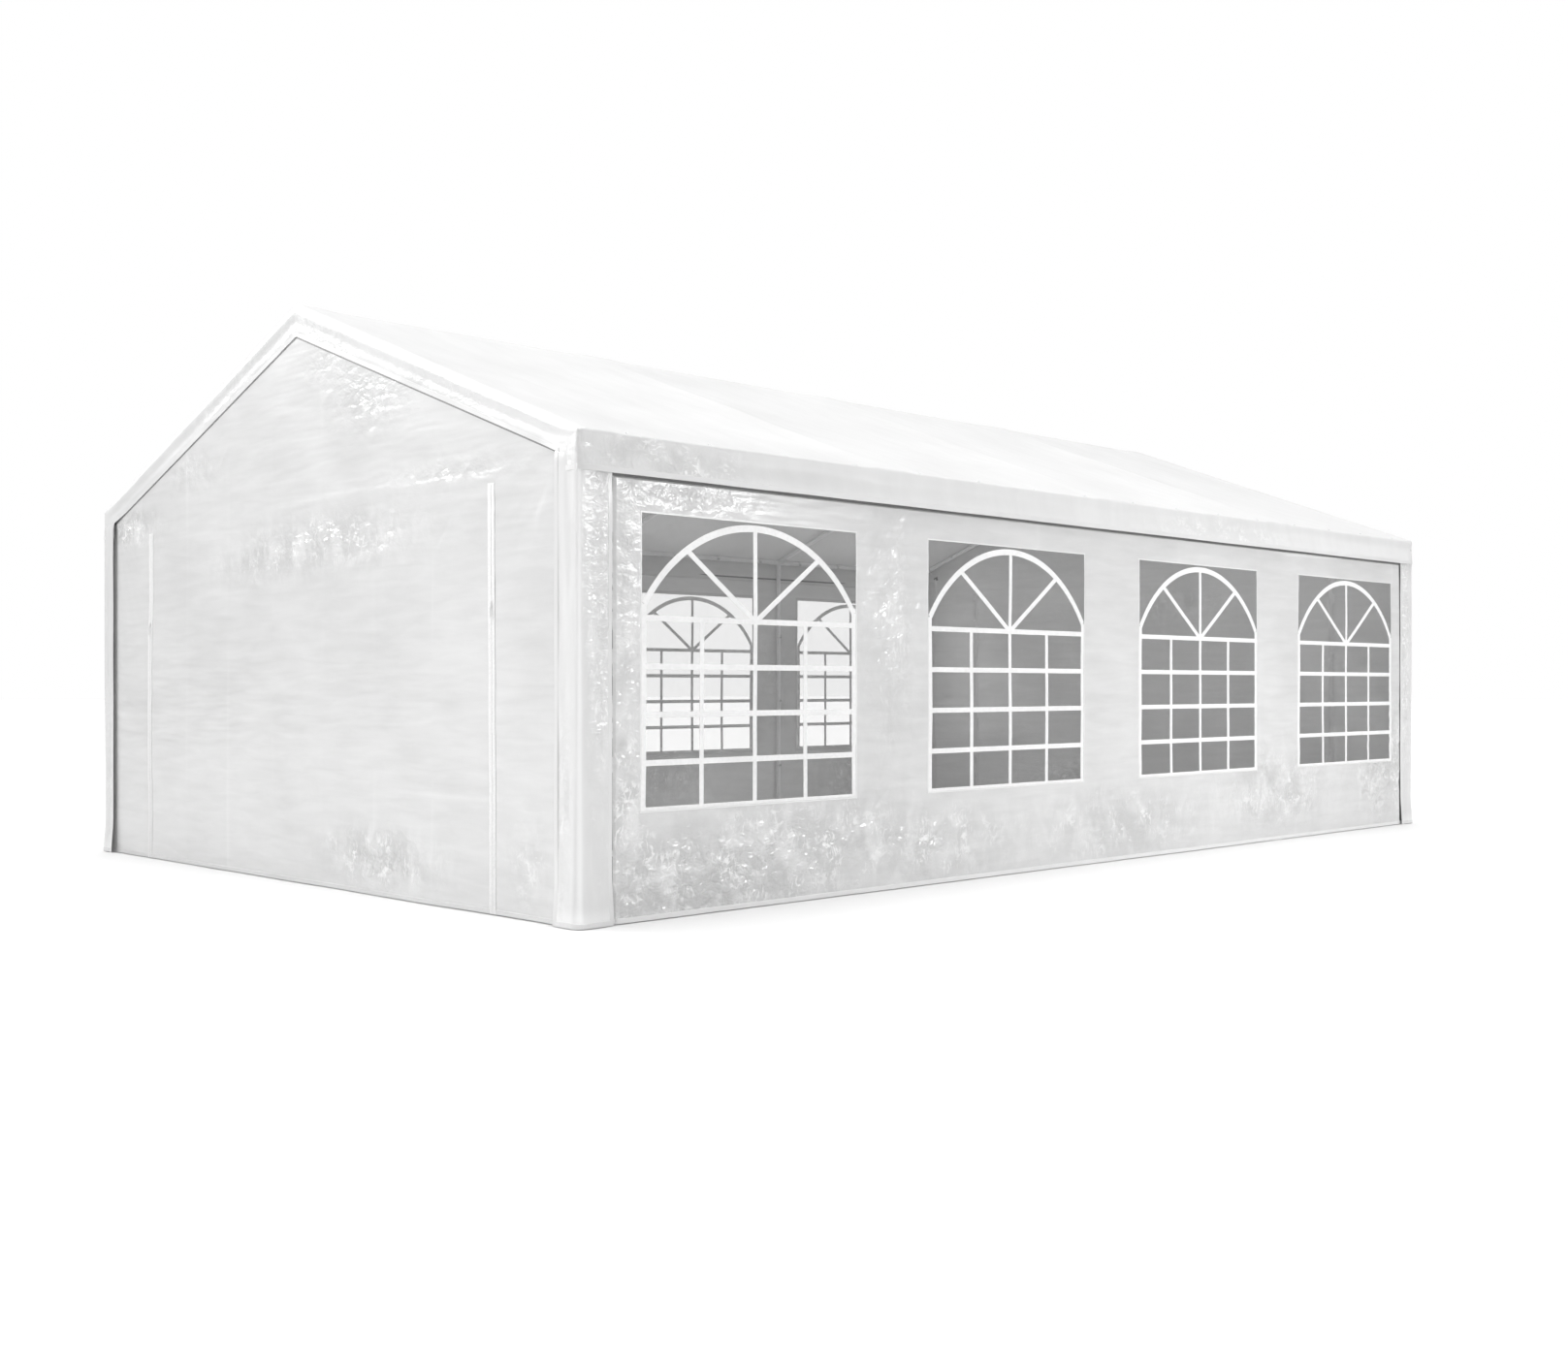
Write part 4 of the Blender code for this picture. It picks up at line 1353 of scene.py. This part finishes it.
def add_sleeve(solid, node, direction, screw_out):
    """A fitting's sleeve from its node outwards, with a rolled lip and a wing screw."""
    node, direction = np.array(node, float), unit(direction)
    add_rod(solid, node, node + direction * SLEEVE_LENGTH, SLEEVE_PROFILE, SMOOTH_SIDES)
    screw = node + direction * SLEEVE_LENGTH * SCREW_SHARE
    out = unit(screw_out)
    out = unit(out - direction * np.dot(out, direction))
    head = screw + out * (SLEEVE_R + COLLAR_HEIGHT)
    add_rod(solid, screw + out * SLEEVE_R, head, [(0, 0.0075), (1, 0.0068)], 6)
    add_rod(solid, head, head + out * SHANK_HEIGHT, [(0, 0.0032), (1, 0.0032)], 10)
    side = np.cross(out, direction)
    for way in (-1, 1):
        tip = head + out * WING_REACH[0] + side * way * WING_REACH[1]
        wing = [(0, 0.0022), (0.6, 0.0034), (1, 0.0016)]
        add_rod(solid, head + out * SHANK_HEIGHT / 2, tip, wing, 8)


def add_fitting(solid, node, directions, along_screws):
    """A fitting: the ball in its middle, its sleeves, and the sleeves to the tubes along the tent."""
    add_ball(solid, node, HUB_R, 12, SMOOTH_SIDES)
    for direction, screw_out in directions:
        add_sleeve(solid, node, direction, screw_out)
    for along_y in ENDS_OF_TENT.values():
        if abs(node[1] + along_y * SLEEVE_LENGTH) < END_POST_Y:
            add_sleeve(solid, node, (0, along_y, 0), along_screws)


def build_post(side, number):
    """A post on its foot plate, with its eave fitting."""
    solid = Solid()
    along_x = SIDES_OF_TENT[side]
    y = FRAME_YS[number]
    node = np.array([along_x * POST_X, y, EAVE_AXIS_Z])
    along_y = PLATE_SHIFT * ((number == 0) - (number == BAYS))
    add_plate(solid, (along_x * (POST_X - PLATE_SHIFT), y + along_y), -along_x)
    add_tube(solid, (node[0], y, 0.003), node, TUBE_R)
    add_ring(solid, (node[0], y, PLATE_THICKNESS + 0.0005), (0, 0, 1), TUBE_R, WELD_WIRE, 36, 8)
    inward, down = (-along_x, 0, 0), (0, 0, -1)
    uphill = (-along_x * math.cos(ROOF_TURN), 0, math.sin(ROOF_TURN))
    add_fitting(solid, node, [(down, inward), (uphill, down)], inward)
    name = f"{side}_post_{number + 1}_steel"
    add_piece(name, solid.mesh(name), steel, [f"{side}_post_{number + 1}"])


def add_plate(solid, centre, inward):
    """A foot plate with clipped corners and two round peg holes."""
    half, cut = PLATE_SIZE / 2, PLATE_SIZE / 2 - PLATE_CLIP
    hole_at = half - PEG_HOLE_INSET
    turns = [2 * math.pi * n / 16 for n in range(16)]
    loops = [
        [
            (half, cut), (cut, half), (-cut, half), (-half, cut),
            (-half, -cut), (-cut, -half), (cut, -half), (half, -cut),
        ]
    ]
    for across in (-hole_at, hole_at):
        hole = [(math.cos(turn) * PEG_HOLE_R, math.sin(turn) * PEG_HOLE_R) for turn in turns]
        loops.append([(inward * hole_at + x, across + y) for x, y in hole])
    shape = bmesh.new()
    edges = []
    for loop in loops:
        points = [shape.verts.new((centre[0] + x, centre[1] + y, 0.0)) for x, y in loop]
        edges += [shape.edges.new(pair) for pair in zip(points, points[1:] + points[:1])]
    bmesh.ops.triangle_fill(shape, use_beauty=True, use_dissolve=False, edges=edges)
    lifted = bmesh.ops.extrude_face_region(shape, geom=list(shape.faces))["geom"]
    lifted = [v for v in lifted if isinstance(v, bmesh.types.BMVert)]
    bmesh.ops.translate(shape, verts=lifted, vec=(0, 0, PLATE_THICKNESS))
    bmesh.ops.recalc_face_normals(shape, faces=shape.faces)
    shape.verts.index_update()
    solid.add([v.co for v in shape.verts], [[v.index for v in f.verts] for f in shape.faces])
    shape.free()


def build_truss(number):
    """Two rafters and the ridge fitting that joins them."""
    solid = Solid()
    y = FRAME_YS[number]
    node = np.array([0.0, y, RIDGE_AXIS_Z])
    down = (0, 0, -1)
    sleeves = []
    for along_x in SIDES_OF_TENT.values():
        downhill = np.array([along_x * math.cos(ROOF_TURN), 0, -math.sin(ROOF_TURN)])
        eave = np.array([along_x * POST_X, y, EAVE_AXIS_Z])
        add_tube(solid, eave - downhill * RAFTER_START, node, TUBE_R)
        sleeves.append((downhill, down))
    add_fitting(solid, node, sleeves, down)
    name = f"truss_{number + 1}_steel"
    add_piece(name, solid.mesh(name), steel, [f"truss_{number + 1}"])


def build_bars(line, x, z, name):
    """The tubes along the tent of one line."""
    solid = Solid()
    for start, end in zip(FRAME_YS, FRAME_YS[1:]):
        add_tube(solid, (x, start + BAR_INSET, z), (x, end - BAR_INSET, z), TUBE_R)
    nodes = [f"{line}_bar_{n}" for n in range(1, BAYS + 1)]
    add_piece(name, solid.mesh(name), steel, nodes)


TIE_HEIGHTS = (0.35, 0.92, 1.48)
TIES_ON_RAFTER = (0.15, 0.32, 0.5, 0.68, 0.85)
TIE_WIRE = 0.0022
TIE_SLACK = 0.003
BALL_R = 0.012


def add_tie(solid, centre, axis, toward):
    """An elastic loop round a tube, with the ball that holds it."""
    centre, toward = np.array(centre, float), unit(toward)
    add_ring(solid, centre + toward * TIE_SLACK, axis, TUBE_R + 0.004, TIE_WIRE, 22, 6)
    add_ball(solid, centre - toward * (TUBE_R + BALL_R + TIE_SLACK), BALL_R)


def build_ties():
    """Elastic ties with balls, which hold the sheets to the tubes."""
    for side, along_x in SIDES_OF_TENT.items():
        solid = Solid()
        for y in FRAME_YS:
            for z in TIE_HEIGHTS:
                add_tie(solid, (along_x * POST_X, y, z), (0.25, 0, 1), (along_x, 0, 0))
        for y in lines([FRAME_YS[0] + 0.25, FRAME_YS[-1] - 0.25], 0.5):
            if np.min(np.abs(np.array(FRAME_YS) - y)) > SLEEVE_LENGTH + 0.02:
                add_tie(solid, (along_x * POST_X, y, EAVE_AXIS_Z), (0, 1, 0.2), (along_x, 0, 0.2))
        add_piece(f"{side}_ties", solid.mesh(f"{side}_ties"), elastic)
    for end, along_y in ENDS_OF_TENT.items():
        solid = Solid()
        for along_x in SIDES_OF_TENT.values():
            for share in TIES_ON_RAFTER:
                x = along_x * POST_X * (1 - share)
                z = EAVE_AXIS_Z + (RIDGE_AXIS_Z - EAVE_AXIS_Z) * share
                axis = (-along_x * math.cos(ROOF_TURN), 0.2, math.sin(ROOF_TURN))
                add_tie(solid, (x, along_y * END_POST_Y, z), axis, (0, along_y, 0))
        add_piece(f"{end}_ties", solid.mesh(f"{end}_ties"), elastic)


# Hems, and dark strips of painted shade on the walls

HEM_UNDER_COVER = 0.09
WINDOW_HEM = 0.008


def build_wall_trim(side):
    """A side wall's bottom hem, the hems round its windows, and the dark strips of painted shade in its
    grooves, for the shadow gaps there.
    """
    hem, band = Solid(), Solid()
    edge = COVER_EDGE_Y + HEM_UNDER_COVER
    z = CLOTH_BOTTOM + HEM_WIDTH / 2
    wall_strip(hem, side, stepped((-edge, z), (edge, z), 0.035), HEM_WIDTH, HEM_THICKNESS)
    # The strips under the valance and beside the corner covers are painted shade for the shadow gaps
    # there
    z = TOP_GROOVE_Z + 0.001 + SHADE_STRIP_WIDTH / 2
    y = SIDE_GROOVE_Y + 0.005 + SHADE_STRIP_WIDTH / 2
    bands = [((-edge, z), (edge, z)), ((-y, CLOTH_BOTTOM), (-y, z)), ((y, CLOTH_BOTTOM), (y, z))]
    for start, end in bands:
        wall_strip(band, side, stepped(start, end, 0.05), SHADE_STRIP_WIDTH, SHADE_STRIP_THICKNESS, SHADE_STRIP_OUT)
    for centre in WALL_WINDOWS:
        left, right = centre - WINDOW_HALF - 0.0035, centre + WINDOW_HALF + 0.0035
        low, high = WINDOW_BOTTOM - 0.0035, WINDOW_TOP + 0.0035
        corners = [(left, low), (right, low), (right, high), (left, high)]
        for start, end in zip(corners, corners[1:] + corners[:1]):
            over = WINDOW_HEM / 2 * unit(np.subtract(end, start))
            wall_strip(hem, side, stepped(start - over, end + over), WINDOW_HEM, 0.0012)
    add_piece(f"{side}_wall_hems", hem.mesh("hem"), hem_cloth)
    add_piece(f"{side}_wall_shade_strip", band.mesh("band"), painted_shade_strip)


def build_end_trim(end):
    """An end wall's bottom hem, and the dark strip of painted shade under its rake, for the shadow gap
    under the rake valance.
    """
    hem, band = Solid(), Solid()
    reach = HALF_WIDTH - COVER_ON_END + HEM_UNDER_COVER
    z = CLOTH_BOTTOM + HEM_WIDTH / 2
    beside, inside = DOOR_HALF_WIDTH + 0.02, DOOR_HALF_WIDTH - 0.02
    for start, stop in ((-reach, -beside), (-inside, inside), (beside, reach)):
        end_strip(hem, end, stepped((start, z), (stop, z), 0.035), HEM_WIDTH, HEM_THICKNESS)
    # The strips under the rakes are painted shade for the shadow gap under the rake valance
    offset = (GROOVE_BELOW_RAKE - 0.001 - SHADE_STRIP_WIDTH / 2) / RAKE_COS
    corner = (RAKE_HEM_CORNER[0] + 0.02, RAKE_HEM_CORNER[1] - RAKE_SLOPE * 0.02 - offset)
    peak = (0.0, RAKE_HEM_PEAK_Z - offset)
    for along_x in SIDES_OF_TENT.values():
        path = stepped((along_x * corner[0], corner[1]), peak, 0.05)
        end_strip(band, end, path, SHADE_STRIP_WIDTH, SHADE_STRIP_THICKNESS, SHADE_STRIP_OUT)
    add_piece(f"{end}_wall_hems", hem.mesh("hem"), wall_cloth)
    add_piece(f"{end}_wall_shade_strip", band.mesh("band"), painted_shade_strip)


for side_name in SIDES_OF_TENT:
    for frame_number in range(BAYS + 1):
        build_post(side_name, frame_number)
for frame_number in range(BAYS + 1):
    build_truss(frame_number)
build_bars("ridge", 0.0, RIDGE_AXIS_Z, "ridge_bars")
for side_name, side_x in SIDES_OF_TENT.items():
    build_bars(f"{side_name}_eave", side_x * POST_X, EAVE_AXIS_Z, f"{side_name}_eave_bars")
build_ties()
for side_name in SIDES_OF_TENT:
    build_side_wall(side_name)
    build_wall_trim(side_name)
    for window_number in WINDOW_NUMBERS:
        build_window(side_name, window_number)
for end_name in ENDS_OF_TENT:
    build_zips(end_name)
    build_end_wall(end_name)
    build_end_trim(end_name)
    for side_name in SIDES_OF_TENT:
        build_cover(end_name, side_name)
build_roof()

# Floor, lights and camera

CAMERA_PLACE = Vector((8.141, -8.406, 1.044))
CAMERA_TURN = math.radians(45.26)
LENS = 38.38
SENSOR = 36.0
SHIFT_Y = 0.0019
FLOOR_HALF = 120.0
WORLD_LIGHT = 0.34
SUN_STRENGTH = 3.85
SUN_SPREAD = 60

# Each lamp's name, place, aim, size in metres, power in watts and spread in degrees
LAMPS = (
    ("front_lamp", (-20.0, -16.0, 13.5), (0, -4, 5.3), (5, 4), 238, 30),
    ("side_lamp", (12.9, 6.0, 4.5), (2.45, 1.0, 1.0), (1.8, 1.2), 34, 50),
    ("far_side_lamp", (8.0, 13.0, 4.5), (2.45, 3.0, 1.0), (2, 1.5), 58, 180),
    ("corner_lamp", (11.0, -12.5, 1.6), (2.4, -4, 1), (2.2, 2.6), 43, 180),
)


def build_floor():
    mesh = bpy.data.meshes.new("studio_floor")
    corners = [(x * FLOOR_HALF, y * FLOOR_HALF, 0) for x, y in ((-1, -1), (1, -1), (1, 1), (-1, 1))]
    mesh.from_pydata(corners, [], [(0, 1, 2, 3)])
    floor = bpy.data.objects.new("studio_floor", mesh)
    floor.data.materials.append(floor_material())
    bpy.context.scene.collection.objects.link(floor)


def add_area(name, place, aim, size, energy, spread):
    """A soft rectangular lamp, fanned out by spread."""
    data = bpy.data.lights.new(name, "AREA")
    data.shape = "RECTANGLE"
    data.size, data.size_y = size
    data.energy = energy
    data.spread = math.radians(spread)
    lamp = bpy.data.objects.new(name, data)
    lamp.visible_camera = False
    bpy.context.scene.collection.objects.link(lamp)
    lamp.location = place
    lamp.rotation_euler = (Vector(aim) - Vector(place)).to_track_quat("-Z", "Y").to_euler()


def add_sun():
    """A wide even light from straight above."""
    data = bpy.data.lights.new("top_sun", "SUN")
    data.energy = SUN_STRENGTH
    data.angle = math.radians(SUN_SPREAD)
    bpy.context.scene.collection.objects.link(bpy.data.objects.new("top_sun", data))


def build_world():
    """White behind the tent, and a dimmer even light on it."""
    world = bpy.data.worlds.new("studio_white")
    bpy.context.scene.world = world
    world.use_nodes = True
    tree = world.node_tree
    tree.nodes.clear()
    output = tree.nodes.new("ShaderNodeOutputWorld")
    mix = tree.nodes.new("ShaderNodeMixShader")
    path = tree.nodes.new("ShaderNodeLightPath")
    tree.links.new(path.outputs["Is Camera Ray"], mix.inputs[0])
    for socket, strength in ((1, WORLD_LIGHT), (2, 1.0)):
        background = tree.nodes.new("ShaderNodeBackground")
        background.inputs["Strength"].default_value = strength
        background.inputs["Color"].default_value = (1, 1, 1, 1)
        tree.links.new(background.outputs[0], mix.inputs[socket])
    tree.links.new(mix.outputs[0], output.inputs["Surface"])


def build_camera():
    data = bpy.data.cameras.new("camera")
    data.lens = LENS
    data.sensor_width = SENSOR
    data.shift_y = SHIFT_Y
    data.clip_end = 200.0
    camera = bpy.data.objects.new("camera", data)
    bpy.context.scene.collection.objects.link(camera)
    camera.location = CAMERA_PLACE
    camera.rotation_euler = (math.pi / 2, 0, CAMERA_TURN)
    bpy.context.scene.camera = camera


build_floor()
build_world()
add_sun()
for lamp_settings in LAMPS:
    add_area(*lamp_settings)
build_camera()
bpy.context.scene.view_settings.view_transform = "Standard"
